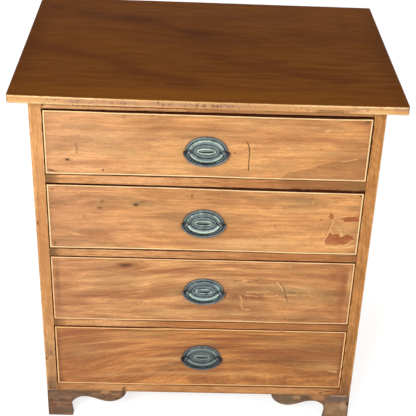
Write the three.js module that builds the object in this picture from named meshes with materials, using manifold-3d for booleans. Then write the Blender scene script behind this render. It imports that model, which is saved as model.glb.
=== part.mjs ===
// Bachelor's chest of four long drawers on bracket feet, each drawer with one oval plate and drop bail.
// Millimetres, +Z up, front towards -Y. The origin is on the floor, under the middle of the top board.

import * as THREE from "three";
import { mergeVertices } from "three/addons/utils/BufferGeometryUtils.js";
import Module from "manifold-3d";

const wasm = await Module();
wasm.setup();

// Fit of one piece to the next
const fittingGap = 0.3;
const cutOverrun = 2;

// Case
const caseWidth = 760;
const caseDepth = 549.5;
const sideThickness = 24.8;
const topThickness = 19;
const topSideOverhang = 39.8;
const topFrontOverhang = 37.5;
const topRailHeight = 26.3;
const topRailDepth = 45;
const railDepth = 62;
const bottomRailHeight = 24;
const housingDepth = 7;
const housingSetback = 14;
const backThickness = 10;
const backLap = 12;
const backSplitShare = 0.52;

// Drawer openings, numbered from the top, and the rails under the first three
const openingHeight1 = 159;
const openingHeight2 = 172.2;
const openingHeight3 = 182.5;
const openingHeight4 = 181.6;
const upperRailHeight = 23;
const middleRailHeight = 20.7;
const lowerRailHeight = 19.8;

// Play over each drawer front and beside it
const headPlay1 = 4;
const headPlay2 = 3.5;
const headPlay3 = 3;
const headPlay4 = 2.5;
const sidePlay = 2.3;

// Drawer stops on the rails
const stopWidth = 56;
const stopDepth = 14;
const stopHeight = 5;
const stopSpacing = 400;

// Bracket feet
const footHeight = 84;
const bracketThickness = 20;
const bracketLength = 197;
const padWidth = 61;
const ankleWidth = 57.5;
const kneeHeight = 35;
const archPlace = 91;
const archHeight = 64.5;
const lobePlace = 155;
const lobeHeight = 49;
const rearBracketLength = 130;
const cornerBlockSize = 34;
const cornerBlockShortfall = 6;
const roundShare = 0.5;
const waveShare = 0.42;
const curveSteps = 7;

// Drawer box
const drawerRearPlay = 19.5;
const frontThickness = 20;
const frontLap = 7;
const drawerSideThickness = 9.5;
const drawerSideDrop = 3;
const drawerBackThickness = 9;
const drawerBackDrop = 8;
const panelThickness = 6;
const panelRise = 8;
const grooveDepth = 5;
const stringWidth = 3.3;
const stringDepth = 3;
const tailCount = 3;
const tailTipShare = 0.8;
const tailRootShare = 0.64;

// Handle posts, one at each end of the bail
const postSpacing = 75.6;
const postHeadRadius = 4.8;
const postReach = 11;
const postNeckRadius = 2.9;
const postFootRadius = 4;
const postFootThickness = 1.2;
const shankRadius = 2.1;
const shankTail = 5.5;
const nutRadius = 6;
const nutThickness = 3.2;
const shankPlay = 0.5;
const postSides = 10;

// Handle plate: bands of even width run round it, from its rim to the eye in its middle
const plateBeyondPosts = 8.2;
const plateHeight = 71;
const plateRimHeight = 2;
const rimBand = 4.5;
const grooveBand = 2.5;
const coveBand = 9.5;
const stepBand = 9;
const beadBand = 4;
const grooveRelief = 0.8;
const coveEdgeRelief = 2.2;
const coveRelief = 1.2;
const stepRelief = 1.9;
const beadRelief = 2.8;
const eyeRelief = 1.5;
const plateSteps = 24;

// Bail
const bailBeyondPosts = 10.95;
const bailDrop = 33.4;
const bailReach = 6.4;
const bailRadius = 2.5;
const bailBellyRadius = 3;
const bailPinRadius = 1.9;
const bailPinPlay = 0.6;
const bailPinOverlap = 2.5;
const hornReach = 2;
const hornRise = 3.4;
const hornTipRadius = 0.5;
const bailSteps = 18;
const bailSides = 8;

// Places worked out from the sizes above
const openingWidth = caseWidth - 2 * sideThickness;
const topWidth = caseWidth + 2 * topSideOverhang;
const topDepth = caseDepth + topFrontOverhang;
const backY = topDepth / 2;
const frontY = backY - caseDepth;
const bottomBoardTop = footHeight + bottomRailHeight;
const lowerRailTop = bottomBoardTop + openingHeight4 + lowerRailHeight;
const middleRailTop = lowerRailTop + openingHeight3 + middleRailHeight;
const upperRailTop = middleRailTop + openingHeight2 + upperRailHeight;
const topRailBottom = upperRailTop + openingHeight1;
const caseTop = topRailBottom + topRailHeight;
const drawerLength = caseDepth - backThickness - drawerRearPlay;
const postX = postSpacing / 2;
const plateWidth = postSpacing + 2 * plateBeyondPosts;
const bailWidth = postSpacing + 2 * bailBeyondPosts;

// The four decks on which the drawers run: a rail in front and a board behind it, let into both sides
const decks = [
  { rail: "upper_rail", board: "upper_dust_board", top: upperRailTop, height: upperRailHeight },
  { rail: "middle_rail", board: "middle_dust_board", top: middleRailTop, height: middleRailHeight },
  { rail: "lower_rail", board: "lower_dust_board", top: lowerRailTop, height: lowerRailHeight },
  { rail: "bottom_rail", board: "bottom_board", top: bottomBoardTop, height: bottomRailHeight },
];

// The drawers. Each handle sits a little off the middle of its front, as it was fitted by hand:
// its place is a share of the front's width, from the middle, and of its height, from below.
const drawers = [
  { deckTop: upperRailTop, opening: openingHeight1, play: headPlay1, acrossShare: -0.002, upShare: 0.425 },
  { deckTop: middleRailTop, opening: openingHeight2, play: headPlay2, acrossShare: -0.0035, upShare: 0.456 },
  { deckTop: lowerRailTop, opening: openingHeight3, play: headPlay3, acrossShare: 0.005, upShare: 0.506 },
  { deckTop: bottomBoardTop, opening: openingHeight4, play: headPlay4, acrossShare: 0.0055, upShare: 0.516 },
];

// Finishes
const topWood = new THREE.MeshStandardMaterial({ color: 0x6f431f, roughness: 0.5, metalness: 0 });
const caseWood = new THREE.MeshStandardMaterial({ color: 0xa9713f, roughness: 0.5, metalness: 0 });
const frontWood = new THREE.MeshStandardMaterial({ color: 0xc98b57, roughness: 0.45, metalness: 0 });
const innerWood = new THREE.MeshStandardMaterial({ color: 0xc2a074, roughness: 0.75, metalness: 0 });
const inlayWood = new THREE.MeshStandardMaterial({ color: 0xf2cf94, roughness: 0.45, metalness: 0 });
const footWood = new THREE.MeshStandardMaterial({ color: 0x8a6546, roughness: 0.6, metalness: 0 });
const plateBrass = new THREE.MeshStandardMaterial({ color: 0x8f9586, roughness: 0.4, metalness: 0.9 });
const bailBrass = new THREE.MeshStandardMaterial({ color: 0x858b88, roughness: 0.35, metalness: 0.9 });

// Directions of an outline's two axes and of its depth
const seenFromFront = [new THREE.Vector3(1, 0, 0), new THREE.Vector3(0, 0, 1), new THREE.Vector3(0, -1, 0)];
const seenFromSide = [new THREE.Vector3(0, 1, 0), new THREE.Vector3(0, 0, 1), new THREE.Vector3(1, 0, 0)];
const seenFromAbove = [new THREE.Vector3(1, 0, 0), new THREE.Vector3(0, 1, 0), new THREE.Vector3(0, 0, 1)];

// A box between its lowest and its highest corner.
function block(low, high) {
  const size = high.map((value, axis) => value - low[axis]);
  const middle = high.map((value, axis) => (value + low[axis]) / 2);
  return new THREE.BoxGeometry(...size).translate(...middle);
}

// An outline pushed through a thickness, turned so that its axes point the given way.
function prism(outline, thickness, axes) {
  const options = { depth: thickness, bevelEnabled: false, curveSegments: curveSteps };
  const geometry = new THREE.ExtrudeGeometry(outline, options);
  return geometry.applyMatrix4(new THREE.Matrix4().makeBasis(...axes));
}

// A round bar of the given radius along Y, from one place to another.
function barAlongY(radius, x, z, start, end) {
  const bar = new THREE.CylinderGeometry(radius, radius, end - start, postSides);
  return bar.translate(x, (start + end) / 2, z);
}

// A round bar of the given radius along X, from one place to another.
function barAlongX(radius, start, end, y) {
  const bar = new THREE.CylinderGeometry(radius, radius, end - start, postSides);
  bar.rotateZ(Math.PI / 2);
  return bar.translate((start + end) / 2, y, 0);
}

// A closed solid through a row of loops with as many points each, anticlockwise as seen from its far end.
function loft(loops) {
  const sides = loops[0].length;
  const points = loops.flat();
  const last = loops.length - 1;
  const index = [];
  for (let row = 0; row < last; row += 1) {
    for (let side = 0; side < sides; side += 1) {
      const near = row * sides + side;
      const beside = row * sides + (side + 1) % sides;
      index.push(near, beside, beside + sides, near, beside + sides, near + sides);
    }
  }
  for (const row of [0, last]) {
    const centre = points.length;
    const sum = loops[row].reduce((total, point) => total.add(point), new THREE.Vector3());
    points.push(sum.divideScalar(sides));
    for (let side = 0; side < sides; side += 1) {
      const near = row * sides + side;
      const beside = row * sides + (side + 1) % sides;
      index.push(centre, ...(row === 0 ? [beside, near] : [near, beside]));
    }
  }
  return new THREE.BufferGeometry().setFromPoints(points).setIndex(index);
}

// A geometry as a solid that can be joined and cut.
function solidOf(geometry) {
  const bare = geometry.clone();
  bare.deleteAttribute("normal");
  bare.deleteAttribute("uv");
  const merged = mergeVertices(bare);
  const vertProperties = new Float32Array(merged.attributes.position.array);
  const triVerts = new Uint32Array(merged.index.array);
  return new wasm.Manifold(new wasm.Mesh({ numProp: 3, vertProperties, triVerts }));
}

// A solid back as a geometry.
function geometryOf(solid) {
  const { vertProperties, triVerts } = solid.getMesh();
  const geometry = new THREE.BufferGeometry();
  geometry.setAttribute("position", new THREE.BufferAttribute(vertProperties, 3));
  geometry.setIndex(new THREE.BufferAttribute(triVerts, 1));
  geometry.computeVertexNormals();
  return geometry;
}

function cut(geometry, cutters) {
  return geometryOf(cutters.reduce((solid, cutter) => solid.subtract(solidOf(cutter)), solidOf(geometry)));
}

function join(geometry, pieces) {
  return geometryOf(pieces.reduce((solid, piece) => solid.add(solidOf(piece)), solidOf(geometry)));
}

function addPiece(group, name, geometry, material) {
  const piece = new THREE.Mesh(geometry, material);
  piece.name = name;
  group.add(piece);
  return piece;
}

// An outline through a list of corners.
function outlineOf(corners) {
  return new THREE.Shape(corners.map(([across, up]) => new THREE.Vector2(across, up)));
}

// Top board
function topBoard() {
  return new THREE.BoxGeometry(topWidth, topDepth, topThickness);
}

// Case side, built for the left: its outer face at x = 0 and its foot at z = 0. The right one is its mirror
// image, so the direction says which way its inner face lies.
function caseSide(inward) {
  const height = caseTop - footHeight - fittingGap;
  const span = (start, end) => (inward > 0 ? [start, end] : [-end, -start]);
  const boxInwards = (start, end, y0, y1, z0, z1) => {
    const [x0, x1] = span(start, end);
    return block([x0, y0, z0], [x1, y1, z1]);
  };
  const housingFloor = sideThickness - housingDepth;
  const through = sideThickness + cutOverrun;
  const board = boxInwards(0, sideThickness, 0, caseDepth, 0, height);
  const housings = decks.map((deck) => {
    const top = deck.top - footHeight + fittingGap;
    const low = top - deck.height - 2 * fittingGap;
    return boxInwards(housingFloor, through, housingSetback, caseDepth + cutOverrun, low, top);
  });
  const topRailLow = topRailBottom - footHeight - fittingGap;
  const topRailBack = topRailDepth + fittingGap;
  const over = height + cutOverrun;
  const topRailHousing = boxInwards(housingFloor, through, housingSetback, topRailBack, topRailLow, over);
  const rebateY = caseDepth - backThickness - fittingGap;
  const rebateX = sideThickness - backLap;
  const rebate = boxInwards(rebateX, through, rebateY, caseDepth + cutOverrun, -cutOverrun, over);
  return cut(board, [...housings, topRailHousing, rebate]);
}

// Rail seen from above: its face fits between the sides, and its ends behind the face are let into them.
function railOutline(depth) {
  const face = openingWidth / 2 - fittingGap;
  const tongue = openingWidth / 2 + housingDepth - fittingGap;
  const shoulder = housingSetback + fittingGap;
  return outlineOf([
    [-face, 0],
    [face, 0],
    [face, shoulder],
    [tongue, shoulder],
    [tongue, depth],
    [-tongue, depth],
    [-tongue, shoulder],
    [-face, shoulder],
  ]);
}

// Deck rail with the two stops that the drawer front above it comes to rest against
function deckRail(height) {
  const rail = prism(railOutline(railDepth), height, seenFromAbove);
  const stopY = frontThickness + fittingGap;
  const stops = [-1, 1].map((hand) => {
    const middle = hand * stopSpacing / 2;
    const low = [middle - stopWidth / 2, stopY, height - cutOverrun];
    const high = [middle + stopWidth / 2, stopY + stopDepth, height + stopHeight];
    return block(low, high);
  });
  return join(rail, stops);
}

function topRail() {
  return prism(railOutline(topRailDepth), topRailHeight - fittingGap, seenFromAbove);
}

// Board behind a rail, from the rail to the back boards
function deckBoard(height) {
  const reach = openingWidth / 2 + housingDepth - fittingGap;
  const start = railDepth + fittingGap;
  const end = caseDepth - backThickness - 2 * fittingGap;
  return block([-reach, start, 0], [reach, end, height]);
}

// Back board seen from the side: one edge is halved over the edge of the other board.
function backBoard(height, lapEdge) {
  const half = backThickness / 2 - fittingGap / 2;
  const lap = backLap / 2;
  const lower = [
    [0, 0],
    [backThickness, 0],
    [backThickness, height - lap],
    [half, height - lap],
    [half, height + lap],
    [0, height + lap],
  ];
  const upper = [
    [half + fittingGap, -lap + fittingGap],
    [backThickness, -lap + fittingGap],
    [backThickness, height],
    [0, height],
    [0, lap + fittingGap],
    [half + fittingGap, lap + fittingGap],
  ];
  const width = openingWidth + 2 * backLap - 2 * fittingGap;
  const board = prism(outlineOf(lapEdge === "top" ? lower : upper), width, seenFromSide);
  return board.translate(-width / 2, 0, 0);
}

// Front of a bracket: a pad, a hollow ankle, an arch, a hanging lobe and a quarter round up to the case.
function bracketOutline() {
  const height = footHeight - fittingGap;
  const archRise = archHeight - kneeHeight;
  const archRun = archPlace - ankleWidth;
  const wave = waveShare * (lobePlace - archPlace);
  const endRun = bracketLength - lobePlace;
  const endRise = height - lobeHeight;
  const outline = new THREE.Shape();
  outline.moveTo(0, 0);
  outline.lineTo(padWidth, 0);
  outline.quadraticCurveTo(ankleWidth, kneeHeight / 2, ankleWidth, kneeHeight);
  outline.bezierCurveTo(
    ankleWidth,
    kneeHeight + roundShare * archRise,
    archPlace - roundShare * archRun,
    archHeight,
    archPlace,
    archHeight,
  );
  outline.bezierCurveTo(archPlace + wave, archHeight, lobePlace - wave, lobeHeight, lobePlace, lobeHeight);
  outline.bezierCurveTo(
    lobePlace + roundShare * endRun,
    lobeHeight,
    bracketLength,
    height - roundShare * endRise,
    bracketLength,
    height,
  );
  outline.lineTo(0, height);
  return outline;
}

// Bracket that runs along +X from the corner of the foot, with its thickness towards +Y (hand 1) or -Y.
function bracket(hand) {
  const blank = prism(bracketOutline(), bracketThickness, seenFromFront);
  return blank.translate(0, hand > 0 ? bracketThickness : 0, 0);
}

// Wedge that takes a bracket's end back to the mitre line
function mitreWedge(hand) {
  const far = bracketThickness + cutOverrun;
  const slack = fittingGap * Math.SQRT1_2;
  const near = -cutOverrun;
  const corners = [
    [near, hand * (near - slack)],
    [far, hand * (far - slack)],
    [near, hand * (far - slack)],
  ];
  const wedge = prism(outlineOf(corners), footHeight + cutOverrun, seenFromAbove);
  return wedge.translate(0, 0, -cutOverrun / 2);
}

// Block glued in the corner of a foot, a little short of the floor
function cornerBlock(hand) {
  const near = bracketThickness - cutOverrun;
  const far = bracketThickness + cornerBlockSize;
  const start = bracketThickness + fittingGap;
  const sideways = hand > 0 ? [near, far] : [-far, -near];
  const low = [start, sideways[0], cornerBlockShortfall];
  const high = [start + cornerBlockSize, sideways[1], footHeight - fittingGap];
  return block(low, high);
}

function mitredBracket(hand) {
  return cut(bracket(hand), [mitreWedge(hand)]);
}

function mitredBracketWithBlock(hand) {
  return join(mitredBracket(hand), [cornerBlock(hand)]);
}

// Rear foot in one piece: the shaped side bracket along +X, and a plain bracket across the back
function rearFoot(hand) {
  const height = footHeight - fittingGap;
  const plain = outlineOf([
    [0, 0],
    [padWidth, 0],
    [padWidth, lobeHeight],
    [rearBracketLength, height],
    [0, height],
  ]);
  const across = prism(plain, bracketThickness, seenFromSide);
  if (hand < 0) {
    across.rotateZ(Math.PI).translate(bracketThickness, 0, 0);
  }
  const corner = cornerBlock(hand).translate(-fittingGap - cutOverrun / 2, 0, 0);
  return join(bracket(hand), [across, corner]);
}

// Tails spread evenly over a height: the middle of each and its half widths at the tip and at the root
function tailsBetween(low, high) {
  const pitch = (high - low) / tailCount;
  return Array.from({ length: tailCount }, (_, number) => ({
    middle: low + (number + 1 / 2) * pitch,
    tip: tailTipShare * pitch / 2,
    root: tailRootShare * pitch / 2,
  }));
}

// Sizes of one drawer that follow from the height of its front
function drawerSizes(frontHeight) {
  const sideHeight = frontHeight - drawerSideDrop;
  const backLow = panelRise + panelThickness + 3 * fittingGap;
  const backHigh = sideHeight - drawerBackDrop;
  return {
    halfWidth: openingWidth / 2 - sidePlay,
    frontHeight,
    sideHeight,
    backLow,
    backHigh,
    frontTails: tailsBetween(0, sideHeight),
    backTails: tailsBetween(backLow, backHigh),
  };
}

// Sockets for the tails: one prism each, true to the tail from tip to root and straight on beyond them
function tailSockets(tails, tip, root, x0, x1) {
  return tails.map((tail) => {
    const tipHalf = tail.tip + fittingGap;
    const rootHalf = tail.root + fittingGap;
    const outline = outlineOf([
      [tip.end, tail.middle - tipHalf],
      [tip.start, tail.middle - tipHalf],
      [root.start, tail.middle - rootHalf],
      [root.end, tail.middle - rootHalf],
      [root.end, tail.middle + rootHalf],
      [root.start, tail.middle + rootHalf],
      [tip.start, tail.middle + tipHalf],
      [tip.end, tail.middle + tipHalf],
    ]);
    return prism(outline, x1 - x0, seenFromSide).translate(x0, 0, 0);
  });
}

// Rectangular ring round the front, as wide as the string
function stringRing(sizes, outgrowth, width, depth) {
  const outerX = sizes.halfWidth + outgrowth;
  const innerX = sizes.halfWidth - width;
  const ring = outlineOf([
    [-outerX, -outgrowth],
    [outerX, -outgrowth],
    [outerX, sizes.frontHeight + outgrowth],
    [-outerX, sizes.frontHeight + outgrowth],
  ]);
  const hole = new THREE.Path([
    new THREE.Vector2(-innerX, width),
    new THREE.Vector2(-innerX, sizes.frontHeight - width),
    new THREE.Vector2(innerX, sizes.frontHeight - width),
    new THREE.Vector2(innerX, width),
  ]);
  ring.holes.push(hole);
  return prism(ring, depth, seenFromFront).translate(0, depth, 0);
}

// Drawer front with the rebate for its string, the sockets for its sides, the groove for its bottom
// and the two holes for its handle posts
function drawerFront(sizes, handleX, handleZ) {
  const { halfWidth, frontHeight } = sizes;
  const board = block([-halfWidth, 0, 0], [halfWidth, frontThickness, frontHeight]);
  const rebateDepth = stringDepth + fittingGap + cutOverrun;
  const rebate = stringRing(sizes, cutOverrun, stringWidth + fittingGap, rebateDepth);
  rebate.translate(0, -cutOverrun, 0);
  const socketX = halfWidth - drawerSideThickness - fittingGap;
  const overX = halfWidth + cutOverrun;
  const overY = frontThickness + cutOverrun;
  const tip = { start: frontLap + fittingGap, end: frontLap };
  const root = { start: frontThickness + fittingGap, end: overY };
  const sockets = [
    ...tailSockets(sizes.frontTails, tip, root, socketX, overX),
    ...tailSockets(sizes.frontTails, tip, root, -overX, -socketX),
  ];
  const grooveTop = panelRise + panelThickness + 2 * fittingGap;
  const grooveX = halfWidth - drawerSideThickness + grooveDepth;
  const groove = block([-grooveX, frontThickness - grooveDepth, panelRise], [grooveX, overY, grooveTop]);
  const holes = [-postX, postX].map((x) => (
    barAlongY(shankRadius + shankPlay, handleX + x, handleZ, -cutOverrun, overY)
  ));
  return cut(board, [rebate, ...sockets, groove, ...holes]);
}

// Drawer side seen from the side: tails into the front, tails into the back, and a full-length lower edge
function drawerSideOutline(sizes) {
  const tipY = frontLap + fittingGap;
  const rootY = frontThickness + fittingGap;
  const backRootY = drawerLength - drawerBackThickness - fittingGap;
  const corners = [[rootY, 0], [drawerLength, 0], [drawerLength, sizes.backLow - fittingGap]];
  corners.push([backRootY, sizes.backLow - fittingGap]);
  for (const tail of sizes.backTails) {
    corners.push([backRootY, tail.middle - tail.root], [drawerLength, tail.middle - tail.tip]);
    corners.push([drawerLength, tail.middle + tail.tip], [backRootY, tail.middle + tail.root]);
  }
  corners.push([backRootY, sizes.sideHeight], [rootY, sizes.sideHeight]);
  for (const tail of [...sizes.frontTails].reverse()) {
    corners.push([rootY, tail.middle + tail.root], [tipY, tail.middle + tail.tip]);
    corners.push([tipY, tail.middle - tail.tip], [rootY, tail.middle - tail.root]);
  }
  return outlineOf(corners);
}

// Drawer side with its groove for the bottom, hand -1 for the left one and 1 for the right one
function drawerSide(sizes, hand) {
  const outerX = sizes.halfWidth;
  const innerX = outerX - drawerSideThickness;
  const side = prism(drawerSideOutline(sizes), drawerSideThickness, seenFromSide);
  side.translate(hand > 0 ? innerX : -outerX, 0, 0);
  const grooveTop = panelRise + panelThickness + 2 * fittingGap;
  const near = innerX - cutOverrun;
  const far = innerX + grooveDepth;
  const [x0, x1] = hand > 0 ? [near, far] : [-far, -near];
  const groove = block([x0, 0, panelRise], [x1, drawerLength + cutOverrun, grooveTop]);
  return cut(side, [groove]);
}

function drawerBack(sizes) {
  const { halfWidth, backLow, backHigh } = sizes;
  const nearY = drawerLength - drawerBackThickness;
  const board = block([-halfWidth, nearY, backLow], [halfWidth, drawerLength, backHigh]);
  const socketX = halfWidth - drawerSideThickness - fittingGap;
  const overX = halfWidth + cutOverrun;
  const tip = { start: drawerLength, end: drawerLength + cutOverrun };
  const root = { start: nearY - fittingGap, end: nearY - cutOverrun };
  return cut(board, [
    ...tailSockets(sizes.backTails, tip, root, socketX, overX),
    ...tailSockets(sizes.backTails, tip, root, -overX, -socketX),
  ]);
}

function drawerBottom(sizes) {
  const reach = sizes.halfWidth - drawerSideThickness + grooveDepth - fittingGap;
  const start = frontThickness - grooveDepth + fittingGap;
  const low = panelRise + fittingGap;
  return block([-reach, start, low], [reach, drawerLength, low + panelThickness]);
}

// Oval at an even distance inside the plate's rim, as far in front of the drawer as the relief says
function plateOval(inset, relief) {
  return Array.from({ length: plateSteps }, (_, step) => {
    const turn = 2 * Math.PI * step / plateSteps;
    const x = (plateWidth / 2 - inset) * Math.cos(turn);
    const z = (plateHeight / 2 - inset) * Math.sin(turn);
    return new THREE.Vector3(x, -relief, z);
  });
}

// Stamped oval plate: rim, groove, hollow band, step, raised bead and sunk eye, over a flat back
function handlePlate() {
  const coveStart = rimBand + grooveBand;
  const stepStart = coveStart + coveBand;
  const beadStart = stepStart + stepBand;
  const eyeStart = beadStart + beadBand;
  const plate = loft([
    plateOval(eyeStart, fittingGap),
    plateOval(0, fittingGap),
    plateOval(0, plateRimHeight / 2),
    plateOval(plateRimHeight / 2, plateRimHeight),
    plateOval(rimBand, plateRimHeight),
    plateOval(coveStart - grooveBand / 2, grooveRelief),
    plateOval(coveStart, coveEdgeRelief),
    plateOval(coveStart + coveBand / 2, coveRelief),
    plateOval(stepStart, stepRelief),
    plateOval(stepStart + stepBand / 2, stepRelief),
    plateOval(beadStart, beadRelief),
    plateOval(eyeStart - beadBand / 3, beadRelief),
    plateOval(eyeStart, eyeRelief),
  ]);
  const holes = [-postX, postX].map((x) => (
    barAlongY(shankRadius + shankPlay, x, 0, -plateRimHeight - beadRelief, cutOverrun)
  ));
  return cut(plate, holes);
}

// Post turned about Y: a round head that the bail's pin goes through, a foot on the plate, and a shank
// through plate and drawer front to its nut
function handlePost() {
  const footFront = coveEdgeRelief + fittingGap + postFootThickness;
  const headMiddle = bailReach;
  const nutStart = frontThickness + fittingGap;
  const nutEnd = nutStart + nutThickness;
  const rise = Math.SQRT1_2 * postHeadRadius;
  const profile = [
    [0, -postReach],
    [rise, -headMiddle - rise],
    [postHeadRadius, -headMiddle],
    [postNeckRadius, -footFront],
    [postFootRadius, -footFront],
    [postFootRadius, -coveEdgeRelief - fittingGap],
    [shankRadius, -coveEdgeRelief - fittingGap],
    [shankRadius, nutStart],
    [nutRadius, nutStart],
    [nutRadius, nutEnd],
    [shankRadius, nutEnd],
    [shankRadius, nutEnd + shankTail],
    [0, nutEnd + shankTail],
  ];
  const points = profile.map(([radius, place]) => new THREE.Vector2(radius, place));
  const post = new THREE.LatheGeometry(points, postSides);
  const pinHole = bailPinRadius + bailPinPlay;
  const overX = postHeadRadius + cutOverrun;
  return cut(post, [barAlongX(pinHole, -overX, overX, -bailReach)]);
}

// Round section of the bail: a loop about the place where it stands, square to the way that the bail runs
function bailSection(x, z, outwardX, outwardZ, radius) {
  return Array.from({ length: bailSides }, (_, side) => {
    const turn = 2 * Math.PI * side / bailSides;
    const out = radius * Math.cos(turn);
    return new THREE.Vector3(x + out * outwardX, radius * Math.sin(turn), z + out * outwardZ);
  });
}

// Bail: the lower half of an oval, fuller at its belly, with a pointed horn at each end,
// and a pin turned inwards through each post. Its axis of swing is the X axis.
function handleBail() {
  const halfWidth = bailWidth / 2;
  const loops = [];
  for (let step = 0; step <= bailSteps; step += 1) {
    const turn = Math.PI * (1 + step / bailSteps);
    const outward = new THREE.Vector2(Math.cos(turn) / halfWidth, Math.sin(turn) / bailDrop).normalize();
    const belly = (bailBellyRadius - bailRadius) * Math.abs(Math.sin(turn));
    const x = halfWidth * Math.cos(turn);
    const z = bailDrop * Math.sin(turn);
    loops.push(bailSection(x, z, outward.x, outward.y, bailRadius + belly));
  }
  const hornX = halfWidth + hornReach;
  const midX = halfWidth + hornReach / 3;
  const midRadius = (bailRadius + hornTipRadius) / 2;
  loops.unshift(bailSection(-midX, hornRise / 2, -1, 0, midRadius));
  loops.unshift(bailSection(-hornX, hornRise, -1, 0, hornTipRadius));
  loops.push(bailSection(midX, hornRise / 2, 1, 0, midRadius));
  loops.push(bailSection(hornX, hornRise, 1, 0, hornTipRadius));
  const pinEnd = postX - postHeadRadius - bailPinOverlap;
  return join(loft(loops), [
    barAlongX(bailPinRadius, -halfWidth, -pinEnd, 0),
    barAlongX(bailPinRadius, pinEnd, halfWidth, 0),
  ]);
}

// Handle: plate, two posts and the bail that hangs in them
function addHandle(group, name, x, z) {
  const handle = new THREE.Group();
  handle.position.set(x, 0, z);
  group.add(handle);
  addPiece(handle, `${name}_plate`, handlePlate(), plateBrass);
  addPiece(handle, `${name}_left_post`, handlePost(), bailBrass).position.x = -postX;
  addPiece(handle, `${name}_right_post`, handlePost(), bailBrass).position.x = postX;
  addPiece(handle, `${name}_bail`, handleBail(), bailBrass).position.y = -bailReach;
}

// One drawer: its origin is in the middle of the lower edge of its face
function addDrawer(group, name, drawer) {
  const box = new THREE.Group();
  box.position.set(0, frontY, drawer.deckTop + fittingGap);
  group.add(box);
  const sizes = drawerSizes(drawer.opening - drawer.play - fittingGap);
  const handleX = drawer.acrossShare * 2 * sizes.halfWidth;
  const handleZ = drawer.upShare * sizes.frontHeight;
  addPiece(box, `${name}_front`, drawerFront(sizes, handleX, handleZ), frontWood);
  addPiece(box, `${name}_string`, stringRing(sizes, 0, stringWidth, stringDepth), inlayWood);
  addPiece(box, `${name}_left_side`, drawerSide(sizes, -1), innerWood);
  addPiece(box, `${name}_right_side`, drawerSide(sizes, 1), innerWood);
  addPiece(box, `${name}_back`, drawerBack(sizes), innerWood);
  addPiece(box, `${name}_bottom`, drawerBottom(sizes), innerWood);
  addHandle(box, name, handleX, handleZ);
}

// Case: top, sides, rails, boards and back
function addCase(group) {
  const outerX = caseWidth / 2;
  addPiece(group, "top_board", topBoard(), topWood).position.z = caseTop + topThickness / 2;
  addPiece(group, "left_side", caseSide(1), caseWood).position.set(-outerX, frontY, footHeight);
  addPiece(group, "right_side", caseSide(-1), caseWood).position.set(outerX, frontY, footHeight);
  addPiece(group, "top_rail", topRail(), caseWood).position.set(0, frontY, topRailBottom);
  for (const deck of decks) {
    const low = deck.top - deck.height;
    addPiece(group, deck.rail, deckRail(deck.height), caseWood).position.set(0, frontY, low);
    addPiece(group, deck.board, deckBoard(deck.height), innerWood).position.set(0, frontY, low);
  }
  const height = caseTop - footHeight - fittingGap;
  const split = backSplitShare * height;
  const nearY = backY - backThickness;
  const lower = addPiece(group, "lower_back_board", backBoard(split, "top"), innerWood);
  lower.position.set(0, nearY, footHeight);
  const upper = addPiece(group, "upper_back_board", backBoard(height - split, "bottom"), innerWood);
  upper.position.set(0, nearY, footHeight + split);
}

// Feet: two mitred brackets at each front corner, and one joined foot at each rear corner
function addFeet(group) {
  const outerX = caseWidth / 2;
  const quarter = Math.PI / 2;
  const feet = [
    ["front_left_foot_face", mitredBracket(1), -outerX, frontY, 0],
    ["front_left_foot_side", mitredBracketWithBlock(-1), -outerX, frontY, quarter],
    ["front_right_foot_face", mitredBracket(-1), outerX, frontY, Math.PI],
    ["front_right_foot_side", mitredBracketWithBlock(1), outerX, frontY, quarter],
    ["rear_left_foot", rearFoot(1), -outerX, backY, -quarter],
    ["rear_right_foot", rearFoot(-1), outerX, backY, -quarter],
  ];
  for (const [name, geometry, x, y, turn] of feet) {
    const foot = addPiece(group, name, geometry, footWood);
    foot.position.set(x, y, 0);
    foot.rotation.z = turn;
  }
}

const chest = new THREE.Group();
addCase(chest);
addFeet(chest);
drawers.forEach((drawer, number) => addDrawer(chest, `drawer_${number + 1}`, drawer));

export default chest;
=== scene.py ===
"""Looks of the bachelor's chest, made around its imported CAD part.

Sizes in the classes are millimetres in the part's own frame, where the chest faces -Y.
Colours are written as they look on a screen.
"""

import logging
from dataclasses import dataclass, field, replace
from enum import Enum
from functools import cache
from typing import Any

import bmesh
import bpy
import numpy as np
from mathutils import Matrix, Vector


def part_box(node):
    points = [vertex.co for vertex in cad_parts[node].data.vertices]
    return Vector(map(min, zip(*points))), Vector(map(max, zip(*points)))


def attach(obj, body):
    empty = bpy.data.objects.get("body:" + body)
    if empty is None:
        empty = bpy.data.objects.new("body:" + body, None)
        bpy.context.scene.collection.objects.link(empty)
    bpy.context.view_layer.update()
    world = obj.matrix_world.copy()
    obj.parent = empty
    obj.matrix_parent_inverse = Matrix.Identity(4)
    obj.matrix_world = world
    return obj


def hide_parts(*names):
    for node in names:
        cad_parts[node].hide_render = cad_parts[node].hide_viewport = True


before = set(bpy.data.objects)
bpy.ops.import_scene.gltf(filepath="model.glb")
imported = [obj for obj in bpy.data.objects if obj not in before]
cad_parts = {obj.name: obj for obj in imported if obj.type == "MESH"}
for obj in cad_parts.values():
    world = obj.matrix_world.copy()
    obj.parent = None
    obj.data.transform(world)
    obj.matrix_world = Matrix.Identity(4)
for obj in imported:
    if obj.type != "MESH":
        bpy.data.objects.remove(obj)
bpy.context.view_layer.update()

MM = 0.001
CLEARANCE = 0.05
LOG = logging.getLogger("chest")
Colour = tuple[float, float, float]
Point = tuple[float, float, float]
Pair = tuple[float, float]
Ramp = tuple[float, float, float]
Streak = tuple[float, float, float, float]
Stretch = tuple[float, float, float, float]
Painted = dict[str, np.ndarray]


class Grain(Enum):
    """Way that the grain of a board runs, with the turn that brings it onto X."""

    ALONG_X = (0.0, 0.0, 0.0)
    ALONG_Y = (0.0, 0.0, -np.pi / 2)
    ALONG_Z = (0.0, np.pi / 2, 0.0)


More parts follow.
